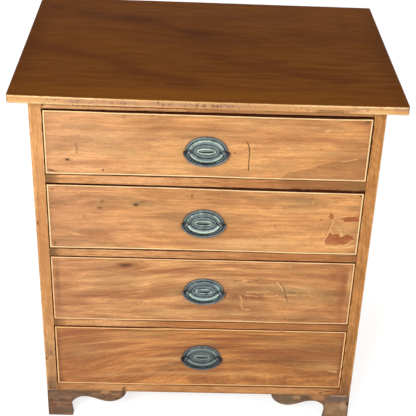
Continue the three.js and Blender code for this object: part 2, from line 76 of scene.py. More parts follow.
class Axis(Enum):
    """Axis of the part's frame, by its place in a point."""

    X = 0
    Y = 1
    Z = 2


class Tone(Enum):
    """What a mark on the veneer shows, by the name of the value that carries it."""

    DARK = "dark"
    PALE = "pale"
    OLIVE = "olive"
    RED = "red"
    GREY = "grey"
    BARE = "bare"


def linear(colour: Colour) -> tuple[float, float, float, float]:
    """Turns a screen colour into the linear one that shaders use."""
    shares = np.asarray(colour, float)
    light = np.where(shares <= 0.04045, shares / 12.92, ((shares + 0.055) / 1.055) ** 2.4)
    return (*light.tolist(), 1.0)


def box_mm(node: str) -> tuple[np.ndarray, np.ndarray]:
    """Lowest and highest corner of a CAD node, in millimetres."""
    low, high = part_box(node)
    return np.array(low) / MM, np.array(high) / MM


def lattice_noise(u: np.ndarray, v: np.ndarray, seed: int) -> np.ndarray:
    """Smooth noise from -1 to 1: random numbers at whole places, blended by 3t^2 - 2t^3 between them.

    Args:
        u: Places along the first direction, in lattice steps.
        v: Places along the second direction, in lattice steps.
        seed: Picks the random numbers.

    Returns:
        The noise at each place.
    """
    table = np.random.default_rng(seed).uniform(-1, 1, (128, 128))
    low_u, low_v = np.floor(u).astype(int), np.floor(v).astype(int)
    part_u, part_v = u - low_u, v - low_v
    part_u, part_v = part_u**2 * (3 - 2 * part_u), part_v**2 * (3 - 2 * part_v)
    near_u, far_u = low_u % 128, (low_u + 1) % 128
    near_v, far_v = low_v % 128, (low_v + 1) % 128
    near = table[near_u, near_v] * (1 - part_u) + table[far_u, near_v] * part_u
    far = table[near_u, far_v] * (1 - part_u) + table[far_u, far_v] * part_u
    return near * (1 - part_v) + far * part_v


def rough_noise(u: np.ndarray, v: np.ndarray, seed: int, octaves: int = 3) -> np.ndarray:
    """Sum of lattice noises, each twice as fine and half as strong as the one before."""
    total = sum(lattice_noise(u * 2**k, v * 2**k, seed + k) / 2**k for k in range(octaves))
    return total / (2 - 2 ** (1 - octaves))


def soft_step(value: np.ndarray, low: float, high: float) -> np.ndarray:
    """Goes from 0 at low to 1 at high along 3t^2 - 2t^3."""
    share = np.clip((value - low) / (high - low), 0, 1)
    return share**2 * (3 - 2 * share)


def between(value: np.ndarray, stretch: Stretch) -> np.ndarray:
    """Rises softly over a stretch's first two places and falls softly from its third to its last one."""
    rise_start, rise_end, fall_start, fall_end = stretch
    return soft_step(value, rise_start, rise_end) * soft_step(value, fall_end, fall_start)


def bell(value: np.ndarray, middle: Any, half: Any) -> np.ndarray:
    """Falls from 1 at the middle along exp(-r^2), with r the distance over the half width."""
    return np.exp(-(((value - middle) / half) ** 2))


def lay_over(painted: Painted, tone: Tone, cover: np.ndarray) -> None:
    """Lays a cover over a tone: what stays open is the product of what both leave open."""
    painted[tone.value] = 1 - (1 - painted[tone.value]) * (1 - cover)


def stations(low: float, high: float, step: float, zones: list[tuple[float, float, float]]) -> np.ndarray:
    """Places from low to high, a step apart and closer in the zones.

    The count of places is the integral of 1 / step, and the places stand where it is whole.

    Args:
        low: First place.
        high: Last place.
        step: Distance between places outside the zones.
        zones: Start, end and step of each finer zone.

    Returns:
        The places in rising order.
    """
    fine = np.linspace(low, high, 4001)
    steps = np.full(fine.shape, step)
    for start, end, closer in zones:
        steps = np.where((fine >= start) & (fine <= end), np.minimum(steps, closer), steps)
    count = np.concatenate([[0], np.cumsum(np.diff(fine) / steps[:-1])])
    whole = np.linspace(0, count[-1], int(np.ceil(count[-1])) + 1)
    return np.interp(whole, count, fine)


@dataclass
class Shell:
    """Closed surface in millimetres, with named values at its points."""

    points: np.ndarray
    faces: list[np.ndarray]
    values: dict[str, np.ndarray] = field(default_factory=dict)

    def volume(self) -> float:
        """Sum of the tetrahedra from the origin to each triangle, which is positive if it faces out."""
        total = 0.0
        for block in self.faces:
            for corner in range(1, block.shape[1] - 1):
                a, b, c = (self.points[block[:, k]] for k in (0, corner, corner + 1))
                total += float(np.einsum("ij,ij->", a, np.cross(b, c)))
        return total / 6

    def joined(self, other: "Shell") -> "Shell":
        """Both shells as one, with the values that both of them have."""
        shift = len(self.points)
        faces = self.faces + [block + shift for block in other.faces]
        values = {
            key: np.concatenate([value, other.values[key]])
            for key, value in self.values.items()
            if key in other.values
        }
        return Shell(np.concatenate([self.points, other.points]), faces, values)

    def to_object(self, name: str, sharp: float = 0.7) -> bpy.types.Object:
        """Makes the mesh object, facing outwards and smooth up to the sharp angle.

        Args:
            name: Name of the piece.
            sharp: Angle in radians from which an edge stays sharp.

        Returns:
            The new object, linked to the scene.
        """
        blocks = self.faces if self.volume() > 0 else [block[:, ::-1] for block in self.faces]
        faces = [face for block in blocks for face in block.tolist()]
        mesh = bpy.data.meshes.new(name)
        mesh.from_pydata((self.points * MM).tolist(), [], faces)
        for key, value in self.values.items():
            kind = "FLOAT_VECTOR" if value.ndim == 2 else "FLOAT"
            attribute = mesh.attributes.new(key, kind, "POINT")
            slot = "vector" if value.ndim == 2 else "value"
            attribute.data.foreach_set(slot, value.astype(np.float32).ravel())
        mesh.shade_smooth()
        mesh.set_sharp_from_angle(angle=sharp)
        mesh.validate()
        made = bpy.data.objects.new(name, mesh)
        bpy.context.scene.collection.objects.link(made)
        return made


def skin(rings: np.ndarray, round_trip: bool = False) -> Shell:
    """Skin over rings of points, closed by a fan to the middle of each end ring.

    Args:
        rings: Array of shape (rings, points around, 3).
        round_trip: True where the last ring joins the first one instead.

    Returns:
        The closed shell, without values.
    """
    count, around = rings.shape[:2]
    row = np.arange(count if round_trip else count - 1)[:, None]
    column = np.arange(around)[None, :]
    ahead = (column + 1) % around
    after = (row + 1) % count
    corners = [row * around + column, row * around + ahead, after * around + ahead, after * around + column]
    quads = np.stack(np.broadcast_arrays(*corners), -1).reshape(-1, 4)
    points = rings.reshape(-1, 3)
    if round_trip:
        return Shell(points, [quads])
    poles = np.stack([rings[0].mean(0), rings[-1].mean(0)])
    start = np.arange(around)
    nxt = (start + 1) % around
    total = len(points)
    last = total - around
    first_fan = np.stack([nxt, start, np.full(around, total)], -1)
    last_fan = np.stack([last + start, last + nxt, np.full(around, total + 1)], -1)
    return Shell(np.concatenate([points, poles]), [quads, first_fan, last_fan])


def with_poles(grid: np.ndarray) -> np.ndarray:
    """Values of a ring grid as one list, with the mean of each end ring for its pole."""
    return np.concatenate([grid.ravel(), [grid[0].mean(), grid[-1].mean()]])


class Wiring:
    """Adds nodes to one node tree and joins them."""

    def __init__(self, tree: bpy.types.NodeTree) -> None:
        """Keeps the tree."""
        self.tree = tree

    def add(self, kind: str, inputs: dict[Any, Any] | None = None, **settings: Any) -> bpy.types.Node:
        """Adds a shader node.

        Args:
            kind: Its type without the ShaderNode prefix.
            inputs: Constants or sockets by input name or number.
            **settings: Properties of the node.

        Returns:
            The new node.
        """
        node = self.tree.nodes.new(f"ShaderNode{kind}")
        for key, value in settings.items():
            setattr(node, key, value)
        for key, value in (inputs or {}).items():
            self.feed(node.inputs[key], value)
        return node

    def feed(self, socket: bpy.types.NodeSocket, value: Any) -> None:
        """Links a socket into an input, or writes a constant there."""
        if isinstance(value, bpy.types.NodeSocket):
            self.tree.links.new(value, socket)
        else:
            socket.default_value = value

    def math(self, operation: str, first: Any, second: Any, clamp: bool = False) -> bpy.types.NodeSocket:
        """One sum on numbers."""
        inputs = {0: first, 1: second}
        return self.add("Math", inputs, operation=operation, use_clamp=clamp).outputs[0]

    def vector(self, operation: str, first: Any, second: Any = (0, 0, 0)) -> bpy.types.Node:
        """One sum on vectors."""
        return self.add("VectorMath", {0: first, 1: second}, operation=operation)

    def blend(self, share: Any, first: Any, second: Any, mode: str = "MIX") -> bpy.types.NodeSocket:
        """Mixes two colours by a share."""
        inputs = {0: share, 6: first, 7: second}
        return self.add("Mix", inputs, data_type="RGBA", blend_type=mode).outputs[2]

    def span(
        self, value: Any, low: float, high: float, start: float = 0, end: float = 1
    ) -> bpy.types.NodeSocket:
        """Maps low to high onto start to end, smoothly and held at both ends."""
        inputs = {0: value, 1: low, 2: high, 3: start, 4: end}
        return self.add("MapRange", inputs, interpolation_type="SMOOTHSTEP").outputs[0]

    def grey(self, value: Any) -> bpy.types.NodeSocket:
        """Grey of that value."""
        return self.add("CombineColor", {0: value, 1: value, 2: value}).outputs[0]

    def noise(
        self, place: Any, scale: float, detail: float = 2, roughness: float = 0.5
    ) -> bpy.types.NodeSocket:
        """Noise around one half."""
        inputs = {"Vector": place, "Scale": scale, "Detail": detail, "Roughness": roughness}
        return self.add("TexNoise", inputs).outputs[0]

    def group(self, tree: bpy.types.NodeTree, inputs: dict[str, Any]) -> bpy.types.Node:
        """Places a shared node group."""
        node = self.tree.nodes.new("ShaderNodeGroup")
        node.node_tree = tree
        for key, value in inputs.items():
            self.feed(node.inputs[key], value)
        return node

    def place(self) -> bpy.types.NodeSocket:
        """Place in the part's frame."""
        return self.add("TexCoord").outputs["Object"]

    def painted(self, name: str) -> bpy.types.NodeSocket:
        """Painted value of that name."""
        return self.add("Attribute", attribute_name=name).outputs["Fac"]

    def relief(self, shader: bpy.types.Node, strength: float, distance: float, height: Any) -> None:
        """Gives the shader a bump of a height, with the distance in metres."""
        bump = self.add("Bump", {"Strength": strength, "Distance": distance, "Height": height})
        self.feed(shader.inputs["Normal"], bump.outputs[0])


def new_group(name: str, inputs: dict[str, str], outputs: dict[str, str]) -> tuple[Wiring, Any, Any]:
    """Starts a shared node group.

    Args:
        name: Name of the group.
        inputs: Socket kind by input name.
        outputs: Socket kind by output name.

    Returns:
        Its wiring, its input node and its output node.
    """
    tree = bpy.data.node_groups.new(name, "ShaderNodeTree")
    for side, sockets in (("INPUT", inputs), ("OUTPUT", outputs)):
        for key, kind in sockets.items():
            tree.interface.new_socket(key, in_out=side, socket_type=f"NodeSocket{kind}")
    return Wiring(tree), tree.nodes.new("NodeGroupInput"), tree.nodes.new("NodeGroupOutput")


@cache
def timber_group() -> bpy.types.NodeTree:
    """Figure of timber whose grain runs along X.

    The place is bent a little by a slow noise, then stretched along X, so that each noise becomes long
    streaks: broad ones a pitch apart and a run of pitches long, fine fibres, short dark pores where a fine
    noise is high, and clouds as wide as the patch.
    """
    inputs = dict.fromkeys(("Pitch", "Run", "Bend", "Patch"), "Float") | {"Place": "Vector"}
    w, given, made = new_group("timber", inputs, dict.fromkeys(("Figure", "Fibre", "Pore", "Cloud"), "Float"))
    place = given.outputs["Place"]
    slow = w.add("TexNoise", {"Vector": place, "Scale": 5.0, "Detail": 2.0}).outputs["Color"]
    push = w.vector("SCALE", w.vector("SUBTRACT", slow, (0.5, 0.5, 0.5)).outputs[0])
    w.feed(push.inputs["Scale"], given.outputs["Bend"])
    bent = w.vector("ADD", place, push.outputs[0]).outputs[0]
    across = w.math("DIVIDE", 1.0, given.outputs["Pitch"])
    along = w.math("DIVIDE", across, given.outputs["Run"])
    stretch = w.add("CombineXYZ", {0: along, 1: across, 2: across}).outputs[0]
    broad = w.vector("MULTIPLY", bent, stretch).outputs[0]
    figure = w.noise(broad, 1.0, 4, 0.62)
    fine = w.vector("MULTIPLY", bent, (14, 620, 620)).outputs[0]
    fibre = w.noise(fine, 1.0, 3, 0.6)
    short = w.vector("MULTIPLY", bent, (90, 1500, 1500)).outputs[0]
    pore = w.span(w.noise(short, 1.0, 1, 0.5), 0.62, 0.74)
    wide = w.math("DIVIDE", 1.0, given.outputs["Patch"])
    flat = w.add("CombineXYZ", {0: w.math("MULTIPLY", wide, 0.3), 1: wide, 2: wide}).outputs[0]
    cloud = w.noise(w.vector("MULTIPLY", bent, flat).outputs[0], 1.0, 3, 0.55)
    w.feed(made.inputs["Figure"], w.span(figure, 0.3, 0.7))
    w.feed(made.inputs["Fibre"], w.span(fibre, 0.25, 0.75))
    w.feed(made.inputs["Pore"], pore)
    w.feed(made.inputs["Cloud"], w.span(cloud, 0.3, 0.7))
    return w.tree


def timber_inputs(place: Any, pitch: float, run: float, bend: float, patch: float) -> dict[str, Any]:
    """Inputs of the timber group, from sizes in millimetres and a run in pitches."""
    return {"Place": place, "Pitch": pitch * MM, "Run": run, "Bend": bend * MM, "Patch": patch * MM}


@cache
def rub_group() -> bpy.types.NodeTree:
    """Mask of the rubbed edges of a board.

    Along each axis, nearness is 0 further than the width from the board's face and 1 on it. An edge is
    where two of them are near, so the mask is the largest product of two, broken up by a noise.
    """
    inputs = {"Place": "Vector", "Middle": "Vector", "Half": "Vector", "Width": "Float"}
    w, given, made = new_group("rubbed_edges", inputs, {"Rub": "Float"})
    place, width = given.outputs["Place"], given.outputs["Width"]
    off = w.vector("ABSOLUTE", w.vector("SUBTRACT", place, given.outputs["Middle"]).outputs[0]).outputs[0]
    depth = w.vector("SUBTRACT", given.outputs["Half"], off).outputs[0]
    split = w.add("SeparateXYZ", {0: depth})
    near = [
        w.math("SUBTRACT", 1.0, w.math("DIVIDE", split.outputs[k], width, True), True) for k in range(3)
    ]
    pairs = [w.math("MULTIPLY", near[k], near[(k + 1) % 3]) for k in range(3)]
    edge = w.math("MAXIMUM", pairs[0], w.math("MAXIMUM", pairs[1], pairs[2]))
    patchy = w.span(w.noise(place, 45.0, 3, 0.6), 0.35, 0.62)
    w.feed(made.inputs["Rub"], w.math("MULTIPLY", w.span(edge, 0.05, 0.55), patchy))
    return w.tree


@cache
def soil_and_shade_group() -> bpy.types.NodeTree:
    """Mask that goes from 0 at one place along an axis to 1 at another, with a ragged front."""
    inputs = {"Place": "Vector", "Along": "Vector", "Start": "Float", "End": "Float"}
    w, given, made = new_group("soiling_and_shade", inputs, {"SoilAndShade": "Float"})
    place = given.outputs["Place"]
    value = w.vector("DOT_PRODUCT", place, given.outputs["Along"]).outputs["Value"]
    share = w.math("DIVIDE", w.math("SUBTRACT", value, given.outputs["Start"]),
                   w.math("SUBTRACT", given.outputs["End"], given.outputs["Start"]))
    ragged = w.math("ADD", share, w.span(w.noise(place, 30.0, 4, 0.65), 0.2, 0.8, -0.35, 0.35))
    w.feed(made.inputs["SoilAndShade"], w.span(ragged, 0.0, 1.0))
    return w.tree


@cache
def spot_group() -> bpy.types.NodeTree:
    """Mask of one ragged oval mark: 1 in its middle and 0 where the scaled distance passes 1."""
    inputs = {"Place": "Vector", "Middle": "Vector", "Half": "Vector"}
    w, given, made = new_group("spot", inputs, {"Spot": "Float"})
    place = given.outputs["Place"]
    off = w.vector("SUBTRACT", place, given.outputs["Middle"]).outputs[0]
    reach = w.vector("LENGTH", w.vector("DIVIDE", off, given.outputs["Half"]).outputs[0]).outputs["Value"]
    ragged = w.math("ADD", reach, w.span(w.noise(place, 160.0, 3, 0.6), 0.2, 0.8, -0.4, 0.4))
    w.feed(made.inputs["Spot"], w.span(ragged, 1.0, 0.45))
    return w.tree


@dataclass(frozen=True)
class SoilAndShade:
    """Darkening that sets in along an axis, from start to end in millimetres: dirt, and also painted shade in
    the gaps between parts and under the top's overhang.
    """

    axis: Axis
    start: float
    end: float
    colour: Colour
    strength: float = 0.6


@dataclass(frozen=True)
class Spot:
    """Small mark on a board, or a patch of painted shade, in millimetres of the part's frame."""

    middle: Point
    half: Point
    colour: Colour
    strength: float = 0.8


def new_material(name: str) -> tuple[bpy.types.Material, Wiring, bpy.types.Node]:
    """Starts a material and gives back its wiring and its Principled shader."""
    material = bpy.data.materials.new(name)
    material.use_nodes = True
    wiring = Wiring(material.node_tree)
    return material, wiring, material.node_tree.nodes["Principled BSDF"]


@dataclass(frozen=True)
class Wood:
    """Finish of the solid boards: two timber tones, cloudy patches, rubbed edges, darkening along axes for
    dirt and for painted shade, and marks.
    """

    name: str
    pale: Colour
    deep: Colour
    cloud: Colour
    rubbed: Colour
    pitch: float = 9.0
    run: float = 14.0
    bend: float = 12.0
    patch: float = 60.0
    cloud_strength: float = 0.4
    ripple: float = 0.0
    fibre_strength: float = 0.25
    pore_strength: float = 0.35
    rub_width: float = 3.0
    rub_strength: float = 0.7
    roughness: float = 0.55
    specular: float = 0.25
    bump: float = 0.25
    tones: tuple[tuple[Tone, Colour], ...] = ()

    def material(
        self, board: str, grain: Grain, soils_and_shades: tuple[SoilAndShade, ...] = (), spots: tuple[Spot, ...] = ()
    ) -> bpy.types.Material:
        """Builds the finish for one board.

        Args:
            board: CAD node that gives the edges and picks the pattern's place.
            grain: Way that the grain runs.
            soils_and_shades: Darkening along an axis, for dirt and for painted shade.
            spots: Single marks and patches of painted shade.

        Returns:
            The material.
        """
        material, w, shader = new_material(f"{self.name}_{board}")
        place = w.place()
        low, high = (np.array(corner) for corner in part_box(board))
        shift = tuple(float(sum(map(ord, board)) % prime) / prime for prime in (13, 17, 19))
        turned = w.add("Mapping", {"Vector": place, "Location": shift, "Rotation": grain.value}).outputs[0]
        timber = w.group(timber_group(), timber_inputs(turned, self.pitch, self.run, self.bend, self.patch))
        tint = w.blend(timber.outputs["Figure"], linear(self.deep), linear(self.pale))
        cloudy = w.math("MULTIPLY", timber.outputs["Cloud"], self.cloud_strength)
        tint = w.blend(cloudy, tint, linear(self.cloud))
        if self.ripple:
            slant = w.add("Mapping", {"Vector": turned, "Rotation": (0, 0.85, 0)}).outputs[0]
            bands = w.vector("MULTIPLY", slant, (26, 105, 105)).outputs[0]
            wave = w.span(w.noise(bands, 1.0, 2), 0.3, 0.7, 1 - self.ripple, 1 + self.ripple)
            tint = w.blend(1.0, tint, w.grey(wave), "MULTIPLY")
        for soil_and_shade in soils_and_shades:
            along = tuple(float(soil_and_shade.axis.value == k) for k in range(3))
            inputs = {"Place": place, "Along": along, "Start": soil_and_shade.start * MM, "End": soil_and_shade.end * MM}
            mask = w.group(soil_and_shade_group(), inputs).outputs[0]
            tint = w.blend(w.math("MULTIPLY", mask, soil_and_shade.strength), tint, linear(soil_and_shade.colour))
        fibre = w.span(timber.outputs["Fibre"], 0, 1, 1 - self.fibre_strength, 1 + self.fibre_strength / 2)
        tint = w.blend(1.0, tint, w.grey(fibre), "MULTIPLY")
        inputs = {"Place": place, "Middle": tuple((low + high) / 2), "Half": tuple((high - low) / 2)}
        rub = w.group(rub_group(), {**inputs, "Width": self.rub_width * MM}).outputs[0]
        tint = w.blend(w.math("MULTIPLY", rub, self.rub_strength), tint, linear(self.rubbed))
        for tone, colour in self.tones:
            tint = w.blend(w.painted(tone.value), tint, linear(colour))
        for spot in spots:
            inputs = {"Place": place, "Middle": tuple(MM * c for c in spot.middle)}
            mask = w.group(spot_group(), {**inputs, "Half": tuple(MM * c for c in spot.half)}).outputs[0]
            tint = w.blend(w.math("MULTIPLY", mask, spot.strength), tint, linear(spot.colour))
        pores = w.math("MULTIPLY", timber.outputs["Pore"], self.pore_strength)
        tint = w.blend(pores, tint, linear(self.deep), "MULTIPLY")
        w.feed(shader.inputs["Base Color"], tint)
        sheen = w.span(timber.outputs["Fibre"], 0, 1, self.roughness + 0.08, self.roughness - 0.08)
        w.feed(shader.inputs["Roughness"], sheen)
        shader.inputs["Specular IOR Level"].default_value = self.specular
        height = w.math("SUBTRACT", timber.outputs["Fibre"], timber.outputs["Pore"])
        w.relief(shader, self.bump, 0.0004, height)
        return material


@dataclass(frozen=True)
class VeneerFinish:
    """Finish of a drawer front's veneer, which the painted values of its surface change.

    Each size of streak has a pitch, a run, a bend and a patch, as timber_group uses them.
    """

    name: str
    pale: Colour
    deep: Colour
    left: Colour
    right: Colour
    dark: Colour = (0.14, 0.07, 0.04)
    light: Colour = (0.95, 0.74, 0.49)
    olive: Colour = (0.55, 0.43, 0.28)
    red: Colour = (0.58, 0.33, 0.20)
    grey: Colour = (0.55, 0.45, 0.37)
    bare: Colour = (0.65, 0.37, 0.21)
    worn: Colour = (0.83, 0.56, 0.36)
    end_share: float = 0.5
    figure: float = 1.0
    mottle: float = 0.05
    streaks: tuple[Streak, ...] = ((15, 14, 7, 42), (5, 15, 4, 26), (2.2, 5, 2, 90))
    roughness: float = 0.45
    specular: float = 0.2

    def material(self) -> bpy.types.Material:
        """Builds the finish: three sizes of streak and a mottle on the painted grain, then the tones."""
        material, w, shader = new_material(self.name)
        place = w.add("Attribute", attribute_name="grain").outputs["Vector"]
        broad, thin, fleck = (
            w.group(timber_group(), timber_inputs(place, *streak)) for streak in self.streaks
        )
        tint = w.blend(broad.outputs["Figure"], linear(self.deep), linear(self.pale))
        x = w.add("SeparateXYZ", {0: w.place()}).outputs[0]
        tint = w.blend(w.span(x, -0.05, -0.36, 0, self.end_share), tint, linear(self.left))
        tint = w.blend(w.span(x, 0.05, 0.36, 0, self.end_share), tint, linear(self.right))
        tint = w.blend(w.span(broad.outputs["Cloud"], 0.35, 1.0, 0, 0.30), tint, linear(self.olive))
        tint = w.blend(w.span(thin.outputs["Cloud"], 0.35, 1.0, 0, 0.26), tint, linear(self.red))
        blotches = w.span(w.noise(place, 240.0, 3, 0.6), 0.3, 0.7)
        shares = ((thin.outputs["Figure"], -0.18, 0.10), (fleck.outputs["Figure"], -0.13, 0.08),
                  (broad.outputs["Fibre"], -0.07, 0.05), (blotches, -self.mottle, self.mottle))
        for value, low, high in shares:
            grey = w.grey(w.span(value, 0, 1, 1 + low * self.figure, 1 + high * self.figure))
            tint = w.blend(1.0, tint, grey, "MULTIPLY")
        raw_wood = w.blend(w.span(thin.outputs["Cloud"], 0.2, 0.9), linear(self.bare), linear(self.worn))
        tones = (
            (Tone.OLIVE, linear(self.olive)), (Tone.GREY, linear(self.grey)), (Tone.RED, linear(self.red)),
            (Tone.BARE, raw_wood), (Tone.PALE, linear(self.light)), (Tone.DARK, linear(self.dark)),
        )
        for tone, colour in tones:
            tint = w.blend(w.painted(tone.value), tint, colour)
        tint = w.blend(w.math("MULTIPLY", fleck.outputs["Pore"], 0.25), tint, linear(self.dark))
        w.feed(shader.inputs["Base Color"], tint)
        gloss = w.span(w.painted(Tone.BARE.value), 0, 1, self.roughness, 0.85)
        w.feed(shader.inputs["Roughness"], gloss)
        shader.inputs["Specular IOR Level"].default_value = self.specular
        w.relief(shader, 0.2, 0.0003, broad.outputs["Fibre"])
        return material


@dataclass(frozen=True)
class StringFinish:
    """Finish of the pale inlay, stained where its value says so."""

    name: str
    clean: Colour
    stained: Colour
    soot: Colour = (0.30, 0.13, 0.06)

    def material(self) -> bpy.types.Material:
        """Builds the finish: fine fibres, stains by the value named stain, and painted shade on its outer
        sides, which face the gaps.
        """
        material, w, shader = new_material(self.name)
        place = w.place()
        fibre = w.noise(place, 700.0, 3, 0.6)
        slow = w.span(w.noise(place, 28.0, 3, 0.6), 0.35, 0.7)
        tint = w.blend(w.math("MULTIPLY", slow, 0.35), linear(self.clean), linear(self.stained))
        tint = w.blend(w.painted("stain"), tint, linear(self.stained))
        tint = w.blend(w.span(fibre, 0.4, 0.8, 0, 0.25), tint, linear(self.stained))
        # Painted shade on the outer sides.
        tint = w.blend(w.painted("soot"), tint, linear(self.soot))
        w.feed(shader.inputs["Base Color"], tint)
        w.feed(shader.inputs["Roughness"], w.span(fibre, 0.2, 0.8, 0.42, 0.6))
        shader.inputs["Specular IOR Level"].default_value = 0.25
        w.relief(shader, 0.15, 0.0002, fibre)
        return material


@dataclass(frozen=True)
class Brass:
    """Patinated brass: dirt in the hollows, a grey-green skin, and brighter metal where it is polished, with
    painted highlights, reflections and shade in the same values.
    """

    name: str
    dirt: Colour
    skin: Colour
    bright: Colour
    bloom: Colour = (0.44, 0.475, 0.50)
    metallic: float = 0.75
    roughness: float = 0.42

    def material(self) -> bpy.types.Material:
        """Builds the finish: the painted polish value goes from dirt over skin to bright metal, and the
        painted bloom value greys it.
        """
        material, w, shader = new_material(self.name)
        place = w.place()
        patch = w.span(w.noise(place, 95.0, 4, 0.62), 0.3, 0.7, -0.16, 0.16)
        grit = w.noise(place, 900.0, 3, 0.6)
        polish = w.math("ADD", w.painted("polish"), patch)
        tint = w.blend(w.span(polish, 0.05, 0.5), linear(self.dirt), linear(self.skin))
        tint = w.blend(w.span(polish, 0.5, 1.0), tint, linear(self.bright))
        tint = w.blend(w.math("MULTIPLY", w.painted("bloom"), 0.8), tint, linear(self.bloom))
        tint = w.blend(w.span(grit, 0.55, 0.8, 0, 0.3), tint, linear(self.dirt))
        w.feed(shader.inputs["Base Color"], tint)
        shader.inputs["Metallic"].default_value = self.metallic
        w.feed(shader.inputs["Roughness"], w.span(polish, 0.1, 1.0, self.roughness + 0.2, self.roughness))
        w.relief(shader, 0.2, 0.0002, grit)
        return material


TOP_TONES = (
    (Tone.OLIVE, (0.53, 0.31, 0.07)), (Tone.RED, (0.37, 0.185, 0.06)), (Tone.BARE, (0.86, 0.63, 0.39)),
    (Tone.GREY, (0.74, 0.56, 0.44)), (Tone.PALE, (1.0, 0.89, 0.66)), (Tone.DARK, (0.26, 0.13, 0.045)),
)
TOP_WOOD = Wood(
    "top_wood", (0.51, 0.30, 0.085), (0.42, 0.225, 0.06), (0.45, 0.235, 0.06), (0.50, 0.30, 0.09),
    pitch=14, run=8, bend=24, patch=120, cloud_strength=0.45, fibre_strength=0.12, pore_strength=0.25,
    rub_width=4, rub_strength=0.3, roughness=0.5, specular=0.012, bump=0.1, tones=TOP_TONES,
)
STILE_WOOD = Wood(
    "stile_wood", (0.90, 0.66, 0.42), (0.80, 0.56, 0.34), (0.84, 0.60, 0.38), (0.95, 0.74, 0.50),
    pitch=9, run=10, bend=9, ripple=0.08, fibre_strength=0.15, pore_strength=0.25, specular=0.12,
)
GOLDEN_WOOD = Wood(
    "golden_wood", (0.85, 0.60, 0.35), (0.67, 0.44, 0.23), (0.74, 0.50, 0.28), (0.88, 0.66, 0.41),
    pitch=9, run=9, bend=9, ripple=0.13, fibre_strength=0.18, specular=0.12,
)
RAIL_WOOD = Wood(
    "rail_wood", (0.95, 0.71, 0.48), (0.77, 0.53, 0.33), (0.82, 0.57, 0.37), (0.95, 0.73, 0.50),
    pitch=5, run=6, bend=5, fibre_strength=0.32, pore_strength=0.5, rub_strength=0.25, specular=0.06,
)
# Lighter copy of the rail wood for the top rail: painted light that offsets the shade of the top board's
# overhang.
TOP_RAIL_WOOD = replace(
    RAIL_WOOD, name="top_rail_wood", pale=(0.99, 0.76, 0.52), deep=(0.86, 0.62, 0.40),
    cloud=(0.88, 0.66, 0.45),
)
BOTTOM_RAIL_WOOD = replace(
    RAIL_WOOD, name="bottom_rail_wood", pale=(0.84, 0.60, 0.38), deep=(0.70, 0.47, 0.29),
    cloud=(0.72, 0.50, 0.32), fibre_strength=0.2, pore_strength=0.3,
)
FOOT_WOOD = Wood(
    "foot_wood", (0.66, 0.48, 0.34), (0.40, 0.27, 0.18), (0.47, 0.37, 0.29), (0.38, 0.27, 0.18),
    pitch=10, run=3, bend=30, patch=20, cloud_strength=0.8, fibre_strength=0.35, rub_width=4,
    rub_strength=0.5, roughness=0.6,
)
INNER_WOOD = Wood(
    "inner_wood", (0.83, 0.66, 0.45), (0.70, 0.52, 0.33), (0.62, 0.45, 0.29), (0.55, 0.40, 0.26),
    pitch=10, rub_width=3, rub_strength=0.5, roughness=0.75, specular=0.15,
)
CORE_WOOD = Wood(
    "core_wood", (0.74, 0.50, 0.31), (0.58, 0.36, 0.21), (0.62, 0.40, 0.24), (0.78, 0.55, 0.36),
    pitch=9, rub_strength=0.2, specular=0.03,
)


def bodied(piece: bpy.types.Object, body: str, node: str, material: bpy.types.Material) -> None:
    """Gives a finished piece its material, body and slot, and hides the CAD node that it stands for.

    Args:
        piece: The new piece.
        body: CAD body that it moves with.
        node: CAD node that it replaces.
        material: Its material.
    """
    piece.data.materials.clear()
    piece.data.materials.append(material)
    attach(piece, body)
    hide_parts(node)
    LOG.info("%s rides on %s with %d faces", piece.name, body, len(piece.data.polygons))


def read_points(mesh: bpy.types.Mesh) -> np.ndarray:
    """Places of a mesh's vertices in metres, one row each."""
    points = np.empty(len(mesh.vertices) * 3, np.float32)
    mesh.vertices.foreach_get("co", points)
    return points.reshape(-1, 3)


def write_points(mesh: bpy.types.Mesh, points: np.ndarray) -> None:
    """Moves a mesh's vertices to places in metres."""
    mesh.vertices.foreach_set("co", points.ravel())
    mesh.update()


def eased(node: str, radius: float) -> bpy.types.Object:
    """Copy of a CAD node with its loose triangles merged into flat faces and its edges rounded.

    Args:
        node: CAD node to copy.
        radius: Width of the rounding in millimetres.

    Returns:
        The new object, linked to the scene.
    """
    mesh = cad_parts[node].data.copy()
    shape = bmesh.new()
    shape.from_mesh(mesh)
    bmesh.ops.remove_doubles(shape, verts=shape.verts, dist=0.01 * MM)
    bmesh.ops.dissolve_limit(shape, angle_limit=0.01, verts=shape.verts, edges=shape.edges)
    shape.to_mesh(mesh)
    shape.free()
    mesh.shade_smooth()
    piece = bpy.data.objects.new(f"{node}_eased", mesh)
    bpy.context.scene.collection.objects.link(piece)
    bevel = piece.modifiers.new("eased", "BEVEL")
    bevel.width = radius * MM
    bevel.segments = 3
    bevel.limit_method = "ANGLE"
    bevel.angle_limit = 0.5
    bevel.use_clamp_overlap = False
    bevel.harden_normals = True
    return piece


